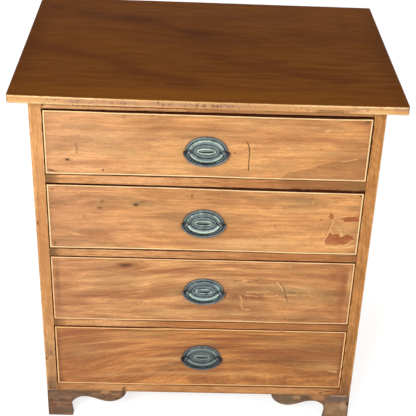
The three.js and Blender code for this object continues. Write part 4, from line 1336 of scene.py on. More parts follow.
MARKS: dict[int, tuple[Mark, ...]] = {
    1: (
        Blot(D, -303.9, 37.3, 4.2, 2.4, 1.3, depth=0.5),
        Blot(D, -227.2, 13.2, 2.6, 2.0, 1.2, depth=0.4),
        Blot(D, -340, 10, 12, 2.6, 0.9, slope=-0.2),
        Line(D, ((-285, 77), (-282.5, 64), (-283.5, 55)), 1.6, 0.45),
        Line(D, ((86.3, 90), (91.5, 79), (92.5, 59), (91.6, 38), (92.2, 21)), 1.1, 1.0, depth=0.6),
        Line(P, ((90, 88), (95, 78), (95.5, 66)), 1.2, 0.3),
        Blot(P, 231, 129.5, 11, 2.2, 0.5),
        Blot(D, 342, 146.5, 6, 4, 0.55),
        Blot(R, 336, 145, 24, 8, 0.5),
        Blot(D, 60.6, 63.6, 2.2, 1.8, 0.7),
        Blot(D, -120, 147.8, 2.2, 1.6, 0.9),
        Blot(D, -180, 146, 2, 7, 0.4),
        Blot(R, 80, 92, 60, 6, 0.45, slope=-0.02),
        Blot(R, -40, 120, 170, 8, 0.3, slope=0.03),
        Blot(R, 230, 100, 110, 7, 0.3, slope=-0.03),
        Blot(P, -120, 60, 160, 9, 0.35),
        Blot(P, 150, 130, 120, 6, 0.25, slope=-0.03),
        Blot(P, 240, 70, 60, 7, 0.3),
        Blot(P, -60, 30, 120, 6, 0.3),
        Patch(R, WEDGE, 0.26, 1.0),
        Patch(O, WEDGE, 0.26, 1.0),
        Line(P, ((177, 19), (229, 33)), 1.0, 0.2),
        Line(D, ((242, 35), (272, 44.6), (292, 48.2)), 0.9, 0.4),
        Line(P, ((296, 48.5), (313, 51.5), (328, 56)), 1.1, 0.6),
        Blot(P, 258, 122.8, 5, 3, 0.7),
        Blot(D, 247, 77.5, 2.2, 1.6, 0.9),
        Blot(O, -200, 146, 60, 5, 0.3),
        Blot(O, -250, 118, 70, 9, 0.3, slope=-0.05),
        Blot(R, 150, 108, 150, 8, 0.28, slope=-0.05),
        Blot(R, -250, 30, 60, 5, 0.3, slope=0.05),
        Blot(R, 200, 132, 66, 18, 0.5),
        Blot(Tone.GREY, -190, 95, 150, 20, 0.25),
        Blot(Tone.GREY, -110, 24, 60, 16, 0.15),
    ),
    2: (
        Blot(O, -140, 124, 62, 11, 0.55, slope=-0.1),
        Blot(O, -78, 94, 46, 8, 0.55),
        Blot(O, 160, 147, 60, 8, 0.45),
        Blot(O, -235, 120, 26, 12, 0.35),
        Blot(D, -155.3, 120.7, 6.5, 4.6, 0.9, depth=0.3),
        Line(D, ((-153, 123), (-143, 129), (-134, 131)), 1.4, 0.5),
        Blot(D, -236, 110.6, 6, 3, 0.75),
        Blot(D, -231, 129, 3, 3.4, 0.7),
        Blot(D, 346.6, 158.2, 2.4, 2.2, 1.2, depth=0.3),
        Blot(D, -30, 147, 2.2, 6, 0.6),
        Blot(D, -271, 88, 2.2, 2, 0.6),
        Line(P, ((240.3, 145), (241.7, 129)), 1.3, 0.5),
        Patch(B, ((279.6, 102), (285, 110.5), (292, 103.5), (290.8, 94), (286.2, 92), (281, 97)), 0.85, 1.2,
              depth=0.7),
        Patch(B, ((300, 98.5), (311.4, 96.3), (320.4, 100.5), (335.4, 102.1), (352.5, 106.5), (352.5, 87),
                  (336.9, 87.7), (316.1, 86.4), (314.7, 91.5)), 1.0, 1.3, depth=0.8),
        Patch(B, ((276.5, 33.5), (279.9, 43.8), (284, 55.2), (288, 60), (292.4, 52.7), (295.5, 54.4),
                  (300.5, 55.7), (307.9, 55.5), (310.4, 47), (317, 48.5), (325.1, 54.8), (337, 49.9),
                  (343, 41), (335, 32.7), (324.2, 25.6), (305.2, 23.5), (280.5, 24.5)), 1.0, 1.8, depth=0.9),
        Line(P, ((278.5, 20), (305.6, 17.8), (328.5, 20), (345, 23.5)), 2.1, 0.85),
        Line(P, ((290, 92), (292.5, 86.4), (287.5, 77.3), (285.6, 68.8), (291, 61.1)), 1.3, 0.7),
        Line(P, ((284.5, 66), (281.5, 57), (279.5, 46.1), (274, 38), (270.5, 23)), 1.2, 0.6),
        Line(D, ((283.5, 84), (282.5, 70), (277, 52), (271, 38)), 0.8, 0.35),
        Line(D, ((281.5, 121), (281.8, 106)), 0.8, 0.35),
        Line(D, ((298.9, 90), (307, 82), (314.5, 74), (316.5, 60)), 0.8, 0.4),
        Line(P, ((300.5, 91), (309, 83), (316.5, 74)), 0.9, 0.4),
        Blot(P, 313, 55, 4, 4.5, 0.8),
        Line(P, ((300, 100.5), (318, 103.5)), 0.9, 0.5),
        Blot(P, 318, 72, 22, 9, 0.3),
        Blot(O, 226, 141, 34, 11, 0.5),
        Blot(D, 239, 146, 3, 5, 0.35),
        Blot(D, 242.4, 130, 3, 2.6, 0.35),
        Blot(O, 336, 126, 16, 6, 0.55),
        Blot(R, 330, 121, 22, 3, 0.4),
        Blot(O, 292, 141, 6, 4, 0.35),
        Blot(D, 159.8, 73.8, 2, 3, 0.6),
        Blot(D, 264, 92.7, 2.4, 2.2, 0.7),
        Blot(P, 110, 28, 120, 8, 0.6),
        Blot(P, 60, 14, 100, 5, 0.5),
        Blot(P, -100, 75, 80, 6, 0.3),
        Blot(R, -250, 40, 70, 20, 0.3),
        Blot(P, -292, 40, 14, 2.5, 0.6, slope=-0.2),
        Blot(D, -341, 13.8, 3, 6, 0.5),
        Blot(D, -341, 158, 2.4, 2.2, 0.8),
        Blot(R, -60, 20, 90, 7, 0.3),
        Blot(O, -318, 26, 36, 20, 0.3),
        Blot(R, 140, 30, 70, 16, 0.14),
        Blot(R, 20, 140, 110, 18, 0.16),
    ),
    3: (
        Blot(D, -179.5, 160.4, 16, 5, 0.75),
        Blot(R, -180, 158, 34, 10, 0.6),
        Blot(O, -60, 84, 60, 12, 0.5, slope=-0.06),
        Blot(R, -220, 71, 90, 7, 0.45),
        Blot(R, 60, 140, 260, 6, 0.35, slope=-0.02),
        Line(D, ((72, 121.8), (91, 123)), 1.3, 0.6),
        Line(D, ((107, 120), (114, 120.6)), 1.3, 0.6),
        Line(D, ((121, 123.3), (129, 123.7)), 1.3, 0.55),
        Blot(O, 205, 96, 150, 17, 0.6, slope=-0.06),
        Line(D, ((180.5, 119), (188.5, 109.5), (193, 99.8), (197.5, 84), (200, 74), (203.5, 66.5)), 1.0, 0.85,
             depth=0.4),
        Line(P, ((174.5, 120), (179, 116.5), (185.5, 108), (190, 98)), 1.5, 0.85),
        Line(P, ((89, 79), (95, 67), (93, 52), (98, 41), (113, 38)), 1.5, 0.6),
        Line(P, ((101, 82), (118, 80.5), (130, 78.5)), 1.2, 0.6),
        Line(P, ((138, 79), (157, 79.3), (172, 81)), 1.1, 0.5),
        Line(P, ((106, 91.5), (133, 90.5), (156, 93.5)), 2.6, 0.4),
        Line(P, ((198, 84.6), (222, 84.2)), 1.2, 0.7),
        Line(D, ((203, 93), (222, 91.5)), 1.2, 0.6),
        Line(D, ((228, 90.5), (246, 91)), 1.1, 0.5),
        Line(D, ((150, 86), (168, 87)), 1.0, 0.4),
        Blot(P, 177, 82, 3, 2.2, 0.9),
        Blot(P, 184, 79.5, 2.4, 1.8, 0.7),
        Blot(P, 203, 167, 2.4, 1.8, 0.7),
        Blot(D, 201, 14, 2, 3, 0.5),
        Blot(D, 137, 11, 3, 1.6, 0.5),
        Blot(D, 155, 10, 2.4, 1.6, 0.5),
        Blot(R, 331, 90, 7, 80, 0.6),
        Blot(R, 315, 45, 30, 22, 0.35),
        Blot(P, 345, 125, 4, 34, 0.6),
        Blot(P, -150, 120, 150, 9, 0.4, slope=0.05),
        Blot(P, 120, 60, 140, 8, 0.35),
        Blot(P, -40, 30, 160, 7, 0.35),
        Blot(D, -340, 100, 5, 70, 0.3),
        Blot(R, 40, 45, 220, 6, 0.3, slope=-0.02),
        Blot(R, 320, 150, 36, 26, 0.55),
        Blot(P, 212, 110, 70, 18, 0.28),
        Blot(O, 245, 68, 38, 18, 0.25),
        Blot(R, -105, 68, 46, 16, 0.25),
        Blot(R, -10, 26, 72, 18, 0.3),
        Blot(R, -318, 70, 36, 80, 0.18),
    ),
    4: (
        Blot(R, -260, 95, 110, 60, 0.3),
        Blot(R, 210, 104, 130, 11, 0.6, slope=-0.08),
        Blot(O, 250, 130, 110, 12, 0.35, slope=-0.06),
        Blot(R, -120, 150, 120, 8, 0.35),
        Blot(P, -80, 84, 90, 5, 0.4, slope=0.05),
        Blot(P, -190, 112, 90, 4, 0.3, slope=0.18),
        Blot(P, -240, 132, 70, 3, 0.3, slope=0.15),
        Blot(P, -130, 62, 70, 4, 0.3, slope=0.1),
        Blot(P, 40, 40, 150, 6, 0.35),
        Blot(P, -200, 30, 100, 5, 0.3, slope=0.08),
        Blot(D, -346, 8, 12, 6, 0.6),
        Blot(R, -300, 160, 50, 10, 0.5),
        Blot(R, -140, 92, 34, 6, 0.4, slope=0.1),
        Line(P, ((320, 56), (342, 53)), 1.6, 0.8),
        Blot(D, -346, 90, 4, 80, 0.35),
        Blot(R, -60, 120, 200, 5, 0.35, slope=0.02),
        Blot(R, 120, 20, 180, 5, 0.35),
        Blot(D, 347, 100, 4, 70, 0.35),
        Blot(P, -175, 152, 110, 14, 0.18),
        Blot(P, -285, 108, 60, 22, 0.18),
        Blot(R, -150, 68, 66, 16, 0.25),
        Blot(R, 178, 68, 40, 16, 0.15),
        Blot(P, 316, 68, 30, 18, 0.22),
        Blot(R, -316, 27, 36, 18, 0.2),
    ),
}

TOP_MARKS: tuple[Mark, ...] = (
    Line(D, ((-300, 186), (-192, 164), (-117, 129), (-20, 71)), 22, 0.42),
    Blot(D, 20, 70, 110, 30, 0.3, slope=-0.25),
    Blot(D, 240, 80, 150, 30, 0.3, slope=-0.12),
    Blot(D, -165, 164, 60, 12, 0.45),
    Blot(D, -372, 215, 34, 30, 0.4),
    Blot(D, 336, 160, 14, 14, 0.3),
    Blot(D, 60, 0, 260, 12, 0.18, slope=-0.1),
    Blot(D, -100, 60, 200, 10, 0.16, slope=-0.2),
    Blot(D, 150, -150, 180, 8, 0.2, slope=-0.05),
    Blot(D, -200, -160, 120, 7, 0.2, slope=-0.2),
    Line(R, ((-390, -20), (-279, -69), (-221, -93), (-150, -160), (-50, -192)), 26, 0.6),
    Line(R, ((20, -65), (136, -114), (290, -168)), 24, 0.5),
    Blot(R, 60, 190, 200, 26, 0.4, slope=0.1),
    Line(D, ((-90, -214), (-20, -218)), 5, 0.35),
    Blot(D, -410, 40, 26, 260, 0.35),
    Blot(D, 408, 0, 24, 280, 0.35),
    Blot(O, 0, -262, 430, 28, 0.6),
    Blot(O, 330, 240, 110, 40, 0.35),
    # Faint paler, bluer share towards the back: painted sheen from a grazing reflection.
    Blot(Tone.GREY, 0, 200, 420, 90, 0.03),
    Blot(R, -20, 20, 130, 60, 0.35, slope=-0.1),
    Blot(D, 110, -60, 180, 10, 0.22, slope=-0.12),
    Blot(D, 330, -60, 90, 9, 0.2, slope=-0.1),
    Blot(O, -250, 30, 120, 26, 0.35, slope=-0.3),
    Blot(O, 120, -20, 200, 22, 0.35, slope=-0.2),
)


def painted_tones(marks: tuple[Mark, ...], x: np.ndarray, z: np.ndarray) -> Painted:
    """Value of each tone: its marks laid over each other.

    Args:
        marks: Marks of the surface.
        x: Places along the surface.
        z: Places across it.

    Returns:
        The values by the tones' names.
    """
    painted = {}
    for tone in Tone:
        open_share = np.ones(x.shape)
        for mark in marks:
            if mark.tone is tone:
                open_share = open_share * (1 - np.clip(mark.cover(x, z), 0, 1))
        painted[tone.value] = 1 - open_share
    return painted


@dataclass(frozen=True)
class Sweep:
    """Stretch where the grain climbs by a rise between two places, most of all at one height."""

    start: float
    end: float
    rise: float
    z: float
    half_height: float

    def push(self, x: np.ndarray, z: np.ndarray) -> np.ndarray:
        """The rise times a soft step along X and exp(-r^2) away from its height."""
        return self.rise * soft_step(x, self.start, self.end) * bell(z, self.z, self.half_height)


SWELLS: dict[int, tuple[Swell | Sweep, ...]] = {
    1: (Swell(-304, 37, 40, 14, 0.6), Swell(-100, 90, 160, 40, 0.3)),
    2: (Swell(-155, 121, 45, 18, 0.8), Swell(-236, 118, 45, 20, 0.7), Swell(150, 40, 200, 40, 0.4)),
    3: (Swell(-180, 160, 70, 26, 0.8), Swell(60, 60, 160, 40, 0.4), Swell(200, 95, 120, 30, 0.5),
        Sweep(-340, 60, 46, 120, 70)),
    4: (Swell(-250, 90, 120, 50, 0.5), Swell(210, 100, 140, 34, 0.5), Sweep(-520, 60, 90, 90, 110)),
}

EDGES: dict[int, tuple[tuple[Pair, ...], tuple[Pair, ...]]] = {
    1: (((-353, 0), (-260, 0.4), (-204, 1.6), (0, 2.2), (100, 3.0), (272, 3.4), (353, 2.2)),
        ((-353, 1.0), (-272, 0.8), (-204, 1.8), (0, 1.6), (100, 0.4), (353, 0))),
    2: (((-353, 0), (-100, 0.4), (0, 1.8), (80, 3.4), (353, 5.2)),
        ((-353, 1.6), (-136, 2.6), (0, 2.2), (136, 1.0), (204, 0), (353, 0))),
    3: (((-353, 0), (68, 0), (136, 0.6), (353, 0.8)),
        ((-353, 0), (-200, 0), (-68, 1.2), (100, 1.2), (204, 0.5), (353, 1.4))),
    4: (((-353, 1.6), (-136, 2.0), (-80, 0), (353, 0)),
        ((-353, 0), (-100, 0), (-60, 1.2), (100, 2.2), (353, 2.4))),
}

FINE_ROWS: dict[int, tuple[Pair, ...]] = {2: ((16, 62), (84, 112))}

FINE_ZONES: dict[int, tuple[Pair, ...]] = {
    1: ((78, 108), (-312, -296)),
    2: ((272, 354), (-165, -130)),
    3: ((84, 118), (164, 208)),
    4: ((316, 346),),
}


def warp(number: int, x: np.ndarray, z: np.ndarray, height: float) -> np.ndarray:
    """How far a drawer's face is shifted up: its worn upper edge sags and its lower edge has risen.

    Args:
        number: Number of the drawer.
        x: Places along the front.
        z: Heights over its lower edge.
        height: Height of the front.

    Returns:
        The shift in millimetres, which goes straight from the lower edge's to the upper edge's.
    """
    sag, rise = (np.interp(x, *zip(*line)) for line in EDGES[number])
    return rise * (1 - z / height) - sag * z / height


def plate_distance(number: int, x: np.ndarray, z: np.ndarray) -> np.ndarray:
    """Distance in millimetres outside the oval of a drawer's handle plate, along the line to its middle."""
    low, high = box_mm(f"drawer_{number}_plate")
    middle, half = (low + high) / 2, (high - low) / 2
    off_x, off_z = x - middle[0], z + box_mm(f"drawer_{number}_front")[0][2] - middle[2]
    share = np.hypot(off_x / half[0], off_z / half[2])
    return np.hypot(off_x, off_z) * (1 - 1 / np.maximum(share, 0.01))


@dataclass
class Veneer:
    """Face veneer inside the string: a thin slab with the marks cut into it and painted on it."""

    number: int
    string_width: float = 3.3
    thickness: float = 1.2
    step: float = 1.8
    fine_step: float = 0.7
    waviness: float = 0.06
    rim: float = 1.5

    def surface(self, low: np.ndarray, high: np.ndarray) -> tuple[np.ndarray, np.ndarray]:
        """Grid of places on the face, closer together where the fine marks are."""
        inset = self.string_width + CLEARANCE
        zones = [(start, end, self.fine_step) for start, end in FINE_ZONES[self.number]]
        columns = stations(low[0] + inset, high[0] - inset, self.step, zones)
        zones = [(start, end, self.fine_step * 1.3) for start, end in FINE_ROWS.get(self.number, ())]
        rows = stations(inset, high[2] - low[2] - inset, self.step * 0.8, zones)
        return np.meshgrid(columns, rows)

    def depth(self, x: np.ndarray, z: np.ndarray) -> np.ndarray:
        """How far the surface lies behind the face: slow waves, and each mark's depth where it covers."""
        total = self.waviness * (1 + rough_noise(x / 60, z / 25, 40 + self.number))
        for mark in MARKS[self.number]:
            if mark.depth > 0:
                total = np.maximum(total, mark.depth * np.clip(mark.cover(x, z) / mark.strength, 0, 1))
        return total

    def values(self, x: np.ndarray, z: np.ndarray) -> Painted:
        """Painted values: the marks, dirt along the edges, a dark and a grey ring round the plate, and the
        bent grain.

        A bare patch gets painted shade along its upper rim and a painted highlight along its lower one, where
        its sunk edge faces down and up.
        """
        marks = MARKS[self.number]
        painted = painted_tones(marks, x, z)
        bare = painted[Tone.BARE.value]
        over, under = (
            painted_tones(marks, x, z + step)[Tone.BARE.value] for step in (self.rim, -self.rim)
        )
        off_plate = np.maximum(plate_distance(self.number, x, z), 0)
        side = np.minimum(x - x.min(), x.max() - x)
        edge = np.minimum(side, np.minimum(z - z[0], z[-1] - z))
        patchy = 0.6 + 0.4 * rough_noise(x / 25, z / 25, 150 + self.number)
        # Painted shade along a bare patch's upper rim and a painted highlight along its lower rim.
        lay_over(painted, Tone.DARK, 0.55 * np.clip(bare - over, 0, 1))
        lay_over(painted, Tone.PALE, 0.75 * np.clip(bare - under, 0, 1))
        lay_over(painted, Tone.DARK, 0.8 * np.exp(-off_plate / 1.3))
        lay_over(painted, Tone.GREY, 0.3 * np.exp(-off_plate / 7))
        lay_over(painted, Tone.DARK, 0.5 * patchy * np.exp(-edge / 1.1))
        lay_over(painted, Tone.RED, 0.45 * patchy * np.exp(-side / 12))
        bent = z - sum(swell.push(x, z) for swell in SWELLS[self.number])
        bent = bent + 5 * lattice_noise(x / 170, z / 60, 60 + self.number)
        depth = np.full(x.shape, 700.0 * self.number)
        painted["grain"] = np.stack([x, bent, depth], -1) * MM
        return painted

    def build(self, body: str, low: np.ndarray, high: np.ndarray) -> None:
        """Builds the slab: face grid, a wall round its border and a flat back closed by a fan.

        Args:
            body: CAD body of the drawer.
            low: Lowest corner of the drawer front.
            high: Highest corner of the drawer front.
        """
        x, z = self.surface(low, high)
        count_z, count_x = x.shape
        z = z + warp(self.number, x, z, high[2] - low[2])
        depth = self.depth(x, z)
        values = self.values(x, z)
        face = np.stack([x, low[1] + depth, low[2] + z], -1).reshape(-1, 3)
        index = np.arange(count_z * count_x).reshape(count_z, count_x)
        quads = np.stack([index[:-1, :-1], index[:-1, 1:], index[1:, 1:], index[1:, :-1]], -1).reshape(-1, 4)
        border = np.concatenate([index[0, :-1], index[:-1, -1], index[-1, :0:-1], index[:0:-1, 0]])
        behind = face[border].copy()
        behind[:, 1] = low[1] + self.thickness
        start = len(face) + np.arange(border.size)
        after = np.roll(start, -1)
        wall = np.stack([border, start, after, np.roll(border, -1)], -1)
        pole = behind.mean(0)[None]
        fan = np.stack([start, np.full(border.size, len(face) + border.size), after], -1)
        shell = Shell(np.concatenate([face, behind, pole]), [quads, wall, fan])
        for key, value in values.items():
            flat = value.reshape(-1, 3) if value.ndim == 3 else value.ravel()
            edge = flat[border]
            shell.values[key] = np.concatenate([flat, edge, edge.mean(0, keepdims=True)])
        piece = shell.to_object(f"drawer_{self.number}_veneer", 0.6)
        node = f"drawer_{self.number}_front"
        bodied(piece, body, node, VENEERS[self.number].material())


@dataclass
class StringInlay:
    """Pale string round the front: a small section carried round the rectangle, mitred at its corners."""

    number: int
    width: float = 3.3
    depth: float = 3.0
    ease: float = 0.35
    wobble: float = 0.22
    stations_per_side: int = 90
    chips: tuple[Pair, ...] = ()

    def build(self, body: str, low: np.ndarray, high: np.ndarray) -> None:
        """Builds the ring and paints its stains.

        A point of the section at distance a inside the rim runs round the rectangle drawn in by a, so
        the corners meet in mitres.

        Args:
            body: CAD body of the drawer.
            low: Lowest corner of the string.
            high: Highest corner of the string.
        """
        e = self.ease
        across = np.array([0, 0, e * 0.3, e, self.width / 2, self.width - e, self.width - e * 0.3, self.width,
                           self.width])
        back = np.array([self.depth, e, e * 0.3, 0.02, 0, 0.02, e * 0.3, e, self.depth])
        share = np.linspace(0, 1, self.stations_per_side, endpoint=False)
        side = np.repeat(np.arange(4), share.size)
        part = np.tile(share, 4)[:, None]
        way = np.arange(side.size)
        wobble = self.wobble * lattice_noise(way / 3.0, np.full(way.shape, 7.0 * self.number), 77)[:, None]
        inset = across[None, :] + wobble * (across / self.width)[None, :]
        x0, x1 = low[0] + inset, high[0] - inset
        z0, z1 = low[2] + inset, high[2] - inset
        corners_x = np.stack([x0, x1, x1, x0])
        corners_z = np.stack([z0, z0, z1, z1])
        pick = np.arange(side.size)
        after = (side + 1) % 4
        x = corners_x[side, pick] * (1 - part) + corners_x[after, pick] * part
        z = corners_z[side, pick] * (1 - part) + corners_z[after, pick] * part
        z = z + warp(self.number, x, z - low[2], high[2] - low[2])
        dent = 0.12 * (1 + rough_noise(x / 30, z / 30, 90 + self.number))
        worn = sum((np.exp(-((x - cx) ** 2 + (z - low[2] - cz) ** 2) / 30) for cx, cz in self.chips), 0 * x)
        y = low[1] + np.minimum(back[None, :] + dent + 1.4 * worn, self.depth)
        shell = skin(np.stack([x, y, z], -1), round_trip=True)
        grime = np.clip(rough_noise(x / 40, z / 40, 120 + self.number) - 0.15, 0, 1) * 1.2
        shell.values["stain"] = np.clip(grime + worn, 0, 1).ravel()
        # Painted shade on the string's outer sides, which face the gaps round the drawer front.
        outer = np.array([1, 1, 0.7, 0, 0, 0, 0, 0, 1.0])
        shell.values["soot"] = np.broadcast_to(outer, x.shape).ravel()
        piece = shell.to_object(f"drawer_{self.number}_inlay", 0.8)
        bodied(piece, body, f"drawer_{self.number}_string", STRINGS[self.number].material())


# The veneers darken from drawer 1 down to drawer 4: partly their own tone, and partly painted shade for the
# light that falls off towards the floor.
VENEERS = {
    1: VeneerFinish(
        "veneer_1", (0.96, 0.71, 0.45), (0.82, 0.57, 0.34), (0.93, 0.69, 0.51), (0.79, 0.53, 0.29),
        figure=0.75,
    ),
    2: VeneerFinish(
        "veneer_2", (0.95, 0.69, 0.43), (0.77, 0.52, 0.31), (0.82, 0.59, 0.44), (0.92, 0.66, 0.40),
        figure=0.8,
    ),
    3: VeneerFinish(
        "veneer_3", (0.95, 0.70, 0.45), (0.69, 0.44, 0.26), (0.83, 0.59, 0.41), (0.74, 0.47, 0.25)
    ),
    4: VeneerFinish(
        "veneer_4", (0.92, 0.63, 0.35), (0.60, 0.36, 0.19), (0.73, 0.46, 0.30), (0.54, 0.32, 0.16),
        figure=1.1,
    ),
}

STRINGS = {
    1: StringFinish("string_1", (1.0, 0.86, 0.62), (0.90, 0.66, 0.44)),
    2: StringFinish("string_2", (1.0, 0.86, 0.63), (0.90, 0.66, 0.45)),
    3: StringFinish("string_3", (1.0, 0.81, 0.58), (0.90, 0.64, 0.43)),
    4: StringFinish("string_4", (1.0, 0.78, 0.52), (0.90, 0.62, 0.42)),
}

PLATE_BRASS = Brass(
    "plate_brass_1", (0.12, 0.15, 0.14), (0.43, 0.48, 0.45), (0.68, 0.76, 0.70), roughness=0.46
)
PLATES = {
    1: PLATE_BRASS,
    2: replace(PLATE_BRASS, name="plate_brass_2", bright=(0.78, 0.86, 0.79)),
    3: replace(PLATE_BRASS, name="plate_brass_3", dirt=(0.11, 0.14, 0.14), skin=(0.40, 0.45, 0.44),
               bright=(0.72, 0.82, 0.78)),
    4: replace(PLATE_BRASS, name="plate_brass_4", dirt=(0.12, 0.14, 0.14), skin=(0.39, 0.43, 0.42),
               bright=(0.55, 0.60, 0.57), bloom=(0.38, 0.41, 0.43)),
}
# LEANS sets how much painted light each plate's crescents get; plates 2 and 3 also get brighter bright metal
# for their lit lower crescents.
LEANS = {1: 0.0, 2: 0.36, 3: 0.42, 4: 0.1}
HORN_LIGHTS = {1: 0.3, 2: 0.75, 3: 0.75, 4: 0.3}
BAIL_BRASS = Brass("bail_brass", (0.13, 0.13, 0.13), (0.31, 0.33, 0.34), (0.53, 0.55, 0.54), roughness=0.45)
DULL_BAIL_BRASS = Brass("dull_bail_brass", (0.10, 0.10, 0.11), (0.26, 0.28, 0.29), (0.44, 0.46, 0.46),
                        (0.34, 0.37, 0.40), roughness=0.5)


@dataclass
class Handle:
    """Stamped oval plate, two turned posts with nuts, and the drop bail."""

    number: int
    around: int = 128
    rings: int = 90
    inner_rings: int = 5
    section_points: int = 20
    horn_steps: int = 10
    post_spacing: float = 75.6
    shank: float = 2.1
    nut: Pair = (20.3, 23.5)
    swing_height: float = 6.4
    bail_half: float = 48.2
    bail_drop: float = 32.6

    def plate(self, middle: np.ndarray, half: Pair, face: float) -> Shell:
        """Plate: ovals at rising insets from the rim, each as far proud as the stamped profile says.

        Args:
            middle: Middle of the plate.
            half: Half its width and half its height.
            face: Y of the drawer's face.

        Returns:
            The plate's shell with its polish and bloom values.
        """
        stops = np.array([
            0, 0.4, 1.2, 2.4, 3.6, 4.4, 5.0, 6.4, 7.0, 7.6, 8.4, 9.6, 11.5, 13.5, 14.8, 15.5, 16.2,
            17.0, 18.0, 19.0, 20.4, 21.6, 22.6, 23.2, 23.8, 24.4, 25.3, 26.4, 27.4, 28.2, 29.5,
        ])
        proud = np.array([
            0.9, 1.5, 1.9, 2.05, 1.95, 1.6, 0.95, 0.85, 1.4, 2.0, 2.2, 2.1, 1.6, 1.35, 1.4, 1.5, 0.8,
            1.0, 1.7, 1.9, 1.95, 1.9, 1.7, 1.2, 1.1, 1.6, 2.5, 2.8, 2.55, 1.9, 1.5,
        ])
        polish = np.array([
            0.1, 0.3, 0.55, 0.65, 0.6, 0.4, 0.25, 0.3, 0.4, 0.75, 1.0, 0.95, 0.75, 0.6, 0.5, 0.3, 0,
            0.1, 0.4, 0.55, 0.6, 0.5, 0.4, 0.15, 0.1, 0.4, 0.9, 1.0, 0.9, 0.5, 0.25,
        ])
        bloom = np.array([
            0, 0.3, 0.8, 0.9, 0.8, 0.4, 0, 0, 0, 0, 0, 0.1, 0.6, 0.8, 0.6, 0.2, 0,
            0.2, 0.7, 0.9, 0.9, 0.8, 0.6, 0.2, 0, 0, 0, 0, 0, 0, 0.1,
        ])
        inset = np.concatenate([np.linspace(0, stops[-1], self.rings), np.full(self.inner_rings, stops[-1])])
        flatter = inset * (1 + 0.12 * soft_step(inset, 3, 8))
        shrink = np.concatenate([np.ones(self.rings), np.linspace(0.85, 0.05, self.inner_rings)])
        relief = np.interp(inset, stops, proud)
        gloss = np.interp(inset, stops, polish)
        turn = np.linspace(0, 2 * np.pi, self.around, endpoint=False)
        x = ((half[0] - inset) * shrink)[:, None] * np.cos(turn)
        z = ((half[1] - flatter) * shrink)[:, None] * np.sin(turn)
        y = np.broadcast_to(-relief[:, None], x.shape)
        front = np.stack([x, y, z], -1)
        rim = np.stack([x[0], np.full(x[0].shape, -0.3), z[0]], -1)[None]
        inner = rim * np.array([0.5, 1, 0.5])
        rings = np.concatenate([inner, rim, front]) + np.array([middle[0], face, middle[2]])
        shell = skin(rings)
        up = np.sin(turn)[None, :] * np.ones(x.shape)
        sheen = gloss[:, None] + 0.1 * lattice_noise(x / 6, z / 6, 200 + self.number)
        # Painted light on the crescents: the upper one darker and greyer, the lower one brighter, as light
        # from above falls on them.
        crescent = bell(inset, 10, 4)[:, None] * up * LEANS[self.number]
        sheen = sheen - crescent - 0.6 * abs(LEANS[self.number]) * (np.abs(inset - 26.4) < 2)[:, None]
        eye = (inset > 28.2)[:, None]
        # Painted light on the eye: lighter on its upper half and darker on its lower half.
        sheen = np.where(eye, 0.36 + 0.34 * up, sheen)
        # Painted shadow of the bail in the groove of the plate's lower half.
        bail_shadow = soft_step(-up, -0.05, 0.3) * bell(inset, 5.3, 1.3)[:, None]
        sheen = sheen - 0.3 * bail_shadow
        shell.values["polish"] = with_poles(np.concatenate([sheen[:1], sheen[:1], sheen]))
        # Grey-blue bands of the stamped profile, with a grey-blue painted reflection on the eye's upper half
        # and the upper crescent, and none in the bail's painted shadow.
        grey = np.where(eye, 0.6 * soft_step(up, 0, 0.5), np.interp(inset, stops, bloom)[:, None])
        grey = grey * (1 - bail_shadow) + np.clip(crescent, 0, 1)
        shell.values["bloom"] = with_poles(np.concatenate([grey[:1], grey[:1], grey]))
        return shell

    def post(self, x: float, z: float, face: float, hand: int) -> Shell:
        """Post: a profile turned about Y, round at its head, with a six-sided nut behind the front.

        Args:
            x: Place of its axis.
            z: Place of its axis.
            face: Y of the drawer's face.
            hand: -1 for the left post and 1 for the right one.

        Returns:
            The post's shell with its polish, which is low where a painted shadow of the pin's stub falls on
            the inner side of its head.
        """
        nod = np.linspace(0, 2.12, 9)
        head_radius = 4.8
        head = [(head_radius * np.sin(a), -self.swing_height - head_radius * np.cos(a)) for a in nod]
        start, end = self.nut
        tail = [(3.8, -3.75), (4.0, -3.55), (4.0, -2.5), (self.shank, -2.5), (self.shank, start),
                (6.0, start), (6.0, end), (self.shank, end), (self.shank, 28.6), (1.6, 29.0)]
        profile = np.array(head[1:] + tail)
        turn = np.linspace(0, 2 * np.pi, 36, endpoint=False)
        flat = np.cos(np.pi / 6) / np.cos(turn % (np.pi / 3) - np.pi / 6)
        nut = ((profile[:, 1] >= start) & (profile[:, 0] > 5))[:, None]
        radius = profile[:, :1] * np.where(nut, flat[None, :], 1.0)
        y = np.broadcast_to(profile[:, 1:] + face, radius.shape)
        shell = skin(np.stack([x + radius * np.cos(turn), y, z + radius * np.sin(turn)], -1))
        polish = np.where(profile[:, 1:] < -5, 0.7, 0.2) * np.ones(radius.shape)
        # Painted shadow of the pin's stub on the inner side of the head.
        inner = -hand * radius * np.cos(turn)
        polish -= 0.9 * bell(inner, 4.6, 1.6)
        # Grey-blue painted reflection where the head is lit.
        shell.values["bloom"] = with_poles(np.clip(polish, 0, 1) * 1.4)
        shell.values["polish"] = with_poles(polish)
        return shell

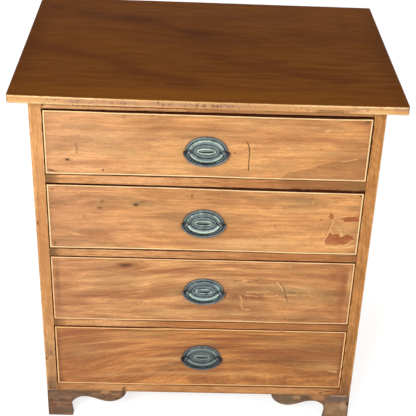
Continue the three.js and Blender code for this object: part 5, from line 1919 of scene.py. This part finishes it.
    def bail(self, x: float, z: float, y: float) -> Shell:
        """Bail: round sections along the lower half of an oval and up into two pointed horns, and two pins.

        Args:
            x: Middle of the bail.
            z: Height of its axis of swing.
            y: Y of its axis of swing.

        Returns:
            The bail's shell with its polish and bloom values.
        """
        turn = np.linspace(np.pi, 2 * np.pi, 61)
        path_x, path_z = self.bail_half * np.cos(turn), self.bail_drop * np.sin(turn)
        out = np.stack([np.cos(turn) / self.bail_half, np.sin(turn) / self.bail_drop], -1)
        out /= np.linalg.norm(out, axis=1, keepdims=True)
        swing = np.abs(np.sin(turn))
        radius = 2.3 + 0.7 * swing**2 + 0.6 * (1 - swing) ** 3
        tip = np.linspace(1, 0, self.horn_steps, endpoint=False)
        horn_radius = 0.4 + 2.5 * (1 - tip) ** 0.8
        left = np.stack([-self.bail_half - 1.2 * tip**1.6, 3.4 * tip], -1)
        right = left[::-1] * np.array([-1, 1])
        path = np.concatenate([left, np.stack([path_x, path_z], -1), right])
        horns = [np.tile([hand, 0.25], (self.horn_steps, 1)) for hand in (-1.0, 1.0)]
        outward = np.concatenate([horns[0], out, horns[1]])
        outward /= np.linalg.norm(outward, axis=1, keepdims=True)
        radius = np.concatenate([horn_radius, radius, horn_radius[::-1]])
        around = np.linspace(0, 2 * np.pi, self.section_points, endpoint=False)
        reach = radius[:, None] * np.cos(around)
        rings = np.stack([
            x + path[:, :1] + reach * outward[:, :1],
            y + radius[:, None] * np.sin(around),
            z + path[:, 1:] + reach * outward[:, 1:],
        ], -1)
        shell = skin(rings)
        # Painted highlight and grey-blue painted reflection along the front of the bar, weaker towards the
        # horns.
        front = np.clip(-np.sin(around), 0, 1) ** 2
        light = HORN_LIGHTS[self.number]
        low = light + (1 - light) * soft_step(swing, 0.1, 0.5)
        horn = light * (1 - 0.9 * tip)
        tips = np.concatenate([horn, low, horn[::-1]])[:, None]
        shell.values["polish"] = with_poles((0.12 + 0.7 * front)[None, :] * tips)
        shell.values["bloom"] = with_poles((0.5 * front)[None, :] * tips)
        pin_x = np.array([30.5, 30.8, 42.9, 43.1, 46.5, 47.5])
        pin_r = np.array([1.6, 1.9, 1.9, 3.5, 3.5, 1.9])
        for hand in (-1, 1):
            ring_x = np.broadcast_to((x + hand * pin_x)[:, None], (pin_x.size, around.size))
            ring_y, ring_z = y + pin_r[:, None] * np.cos(around), z + pin_r[:, None] * np.sin(around)
            pin = skin(np.stack([ring_x, ring_y, ring_z], -1))
            pin.values["polish"] = np.full(len(pin.points), 0.15)
            pin.values["bloom"] = np.zeros(len(pin.points))
            if pin.volume() * shell.volume() < 0:
                pin.faces = [block[:, ::-1] for block in pin.faces]
            shell = shell.joined(pin)
        return shell

    def build(self) -> None:
        """Builds the four pieces at the places of their CAD nodes."""
        name = f"drawer_{self.number}"
        low, high = box_mm(f"{name}_plate")
        middle, half = (low + high) / 2, (high - low) / 2
        face = box_mm(f"{name}_front")[0][1]
        plate = self.plate(middle, (half[0], half[2]), face).to_object(f"{name}_stamped_plate", 0.9)
        bodied(plate, name, f"{name}_plate", PLATES[self.number].material())
        brass = (DULL_BAIL_BRASS if self.number == 4 else BAIL_BRASS).material()
        for side, hand in (("left", -1), ("right", 1)):
            x = middle[0] + hand * self.post_spacing / 2
            post = self.post(x, middle[2], face, hand).to_object(f"{name}_{side}_turned_post", 0.6)
            bodied(post, name, f"{name}_{side}_post", brass)
        bail = self.bail(middle[0], middle[2], face - self.swing_height)
        piece = bail.to_object(f"{name}_cast_bail", 0.9)
        bodied(piece, f"bail_{self.number}", f"{name}_bail", brass)


CHIPS: dict[int, tuple[Pair, ...]] = {4: ((197.0, 177.0), (351.0, 60.0), (351.0, 30.0))}
# Painted shade on each drawer front's top, which shows above the sagging string as the dark gap; lighter for
# drawers 3 and 4.
UPPER_GAP_SHADES = {1: (0.27, 0.10, 0.045), 2: (0.27, 0.10, 0.045), 3: (0.44, 0.22, 0.10), 4: (0.45, 0.22, 0.10)}


@dataclass
class Drawer:
    """One drawer: core and veneer of its front, string, sides, back, bottom and handle."""

    number: int

    def core(self, body: str, thickness: float) -> None:
        """Builds the front behind the veneer: the CAD front with its face drawn back inside the string."""
        node = f"drawer_{self.number}_front"
        piece = eased(node, 0.4)
        low, high = box_mm(node)
        points = read_points(piece.data)
        points[:, 1] = np.maximum(points[:, 1], (low[1] + thickness) * MM)
        write_points(piece.data, points)
        piece.name = f"drawer_{self.number}_core"
        # Painted shade on the front's top, bottom and ends, which face the gaps round the drawer.
        soils_and_shades = (
            SoilAndShade(Axis.Z, high[2] - 6.0, high[2] - 4.5, UPPER_GAP_SHADES[self.number], 0.97),
            SoilAndShade(Axis.Z, low[2] + 1.4, low[2] + 0.6, SOOT_AND_GAP_SHADE, 0.8),
            SoilAndShade(Axis.X, high[0] - 3.0, high[0] - 1.0, SIDE_GAP_SHADE, 0.9),
            SoilAndShade(Axis.X, low[0] + 3.0, low[0] + 1.0, SIDE_GAP_SHADE, 0.9),
        )
        bodied(piece, body, node, CORE_WOOD.material(node, Grain.ALONG_X, soils_and_shades))

    def build(self) -> None:
        """Builds the drawer's pieces in order."""
        name = f"drawer_{self.number}"
        veneer = Veneer(self.number)
        self.core(name, veneer.thickness + CLEARANCE)
        veneer.build(name, *box_mm(f"{name}_front"))
        StringInlay(self.number, chips=CHIPS.get(self.number, ())).build(name, *box_mm(f"{name}_string"))
        for side in ("left_side", "right_side", "back"):
            grain = Grain.ALONG_X if side == "back" else Grain.ALONG_Y
            Board(f"{name}_{side}", INNER_WOOD, grain, "inner_wood", 0.6).build(name)
        dress(f"{name}_bottom", INNER_WOOD.material(f"{name}_bottom", Grain.ALONG_X))
        Handle(self.number).build()


def seen_rays(w: Wiring) -> bpy.types.NodeSocket:
    """1 for camera, glossy and transmission rays, and 0 for the others."""
    path = w.add("LightPath")
    seen = path.outputs["Is Camera Ray"]
    for ray in ("Is Glossy Ray", "Is Transmission Ray"):
        seen = w.math("MAXIMUM", seen, path.outputs[ray])
    return seen


@dataclass
class Studio:
    """Camera at the photograph's viewing place, soft lamps, and a white floor and world."""

    position: Point = (-0.040137, -2.211856, 1.815658)
    down: float = 31.212
    azimuth: float = 1.358
    roll: float = 2.070
    lens: float = 88.14
    world_light: float = 0.5
    lamp_power: float = 58.0
    floor_reach: float = 8000.0
    floor_drop: float = 0.6

    def camera(self) -> None:
        """Sets the camera: its axes come from the azimuth, the angle down and the roll."""
        down, azimuth, roll = np.radians([self.down, self.azimuth, self.roll])
        ahead = np.array([np.sin(azimuth) * np.cos(down), np.cos(azimuth) * np.cos(down), -np.sin(down)])
        right = np.cross(ahead, [0, 0, 1])
        right /= np.linalg.norm(right)
        up = np.cross(right, ahead)
        right, up = right * np.cos(roll) + up * np.sin(roll), up * np.cos(roll) - right * np.sin(roll)
        camera = bpy.data.cameras.new("camera")
        camera.sensor_width = 36
        camera.lens = self.lens
        camera.clip_start = 0.05
        seat = bpy.data.objects.new("camera", camera)
        turn = Matrix((right, up, -ahead)).transposed().to_4x4()
        seat.matrix_world = Matrix.Translation(self.position) @ turn
        bpy.context.scene.collection.objects.link(seat)
        bpy.context.scene.camera = seat

    def lamp(self, name: str, place: Point, aim: Point, power: float, size: float) -> None:
        """Adds a square area lamp that faces its aim."""
        light = bpy.data.lights.new(name, "AREA")
        light.energy = power
        light.size = size
        seat = bpy.data.objects.new(name, light)
        seat.location = place
        seat.rotation_euler = (Vector(aim) - Vector(place)).to_track_quat("-Z", "Y").to_euler()
        bpy.context.scene.collection.objects.link(seat)

    def world(self) -> None:
        """White world: full white to camera, glossy and transmission rays, and softer as a light."""
        world = bpy.data.worlds.new("studio")
        bpy.context.scene.world = world
        world.use_nodes = True
        w = Wiring(world.node_tree)
        background = world.node_tree.nodes["Background"]
        background.inputs["Color"].default_value = (1, 1, 1, 1)
        w.feed(background.inputs["Strength"], w.span(seen_rays(w), 0, 1, self.world_light, 1.0))

    def floor(self) -> None:
        """White floor under the feet, lifted to white for camera rays where no shadow falls."""
        signs = ((-1, -1), (1, -1), (1, 1), (-1, 1))
        corners = np.array([(x * self.floor_reach, y * self.floor_reach, -self.floor_drop) for x, y in signs])
        mesh = bpy.data.meshes.new("floor")
        mesh.from_pydata((corners * MM).tolist(), [], [(0, 1, 2, 3)])
        floor = bpy.data.objects.new("floor", mesh)
        bpy.context.scene.collection.objects.link(floor)
        material, w, shader = new_material("floor_white")
        shader.inputs["Base Color"].default_value = (0.6, 0.6, 0.6, 1)
        shader.inputs["Roughness"].default_value = 0.9
        shader.inputs["Specular IOR Level"].default_value = 0.0
        shader.inputs["Emission Color"].default_value = (1, 1, 1, 1)
        w.feed(shader.inputs["Emission Strength"], w.math("MULTIPLY", seen_rays(w), 0.72))
        mesh.materials.append(material)

    def build(self) -> None:
        """Sets camera, lamps, world, floor and the view transform."""
        self.camera()
        self.lamp("key", (-1.0, -2.6, 2.0), (0, 0, 0.6), self.lamp_power, 1.2)
        self.lamp("fill", (1.6, -1.8, 1.4), (0, 0, 0.4), self.lamp_power * 0.15, 1.6)
        self.world()
        self.floor()
        bpy.context.scene.view_settings.view_transform = "Standard"


def main() -> None:
    """Builds the studio and every part of the chest in order."""
    logging.basicConfig(level=logging.INFO, format="%(name)s: %(message)s")
    Studio().build()
    TopBoard().build()
    Carcase().build()
    for number in (1, 2, 3, 4):
        Drawer(number).build()


if __name__ == "__main__":
    main()
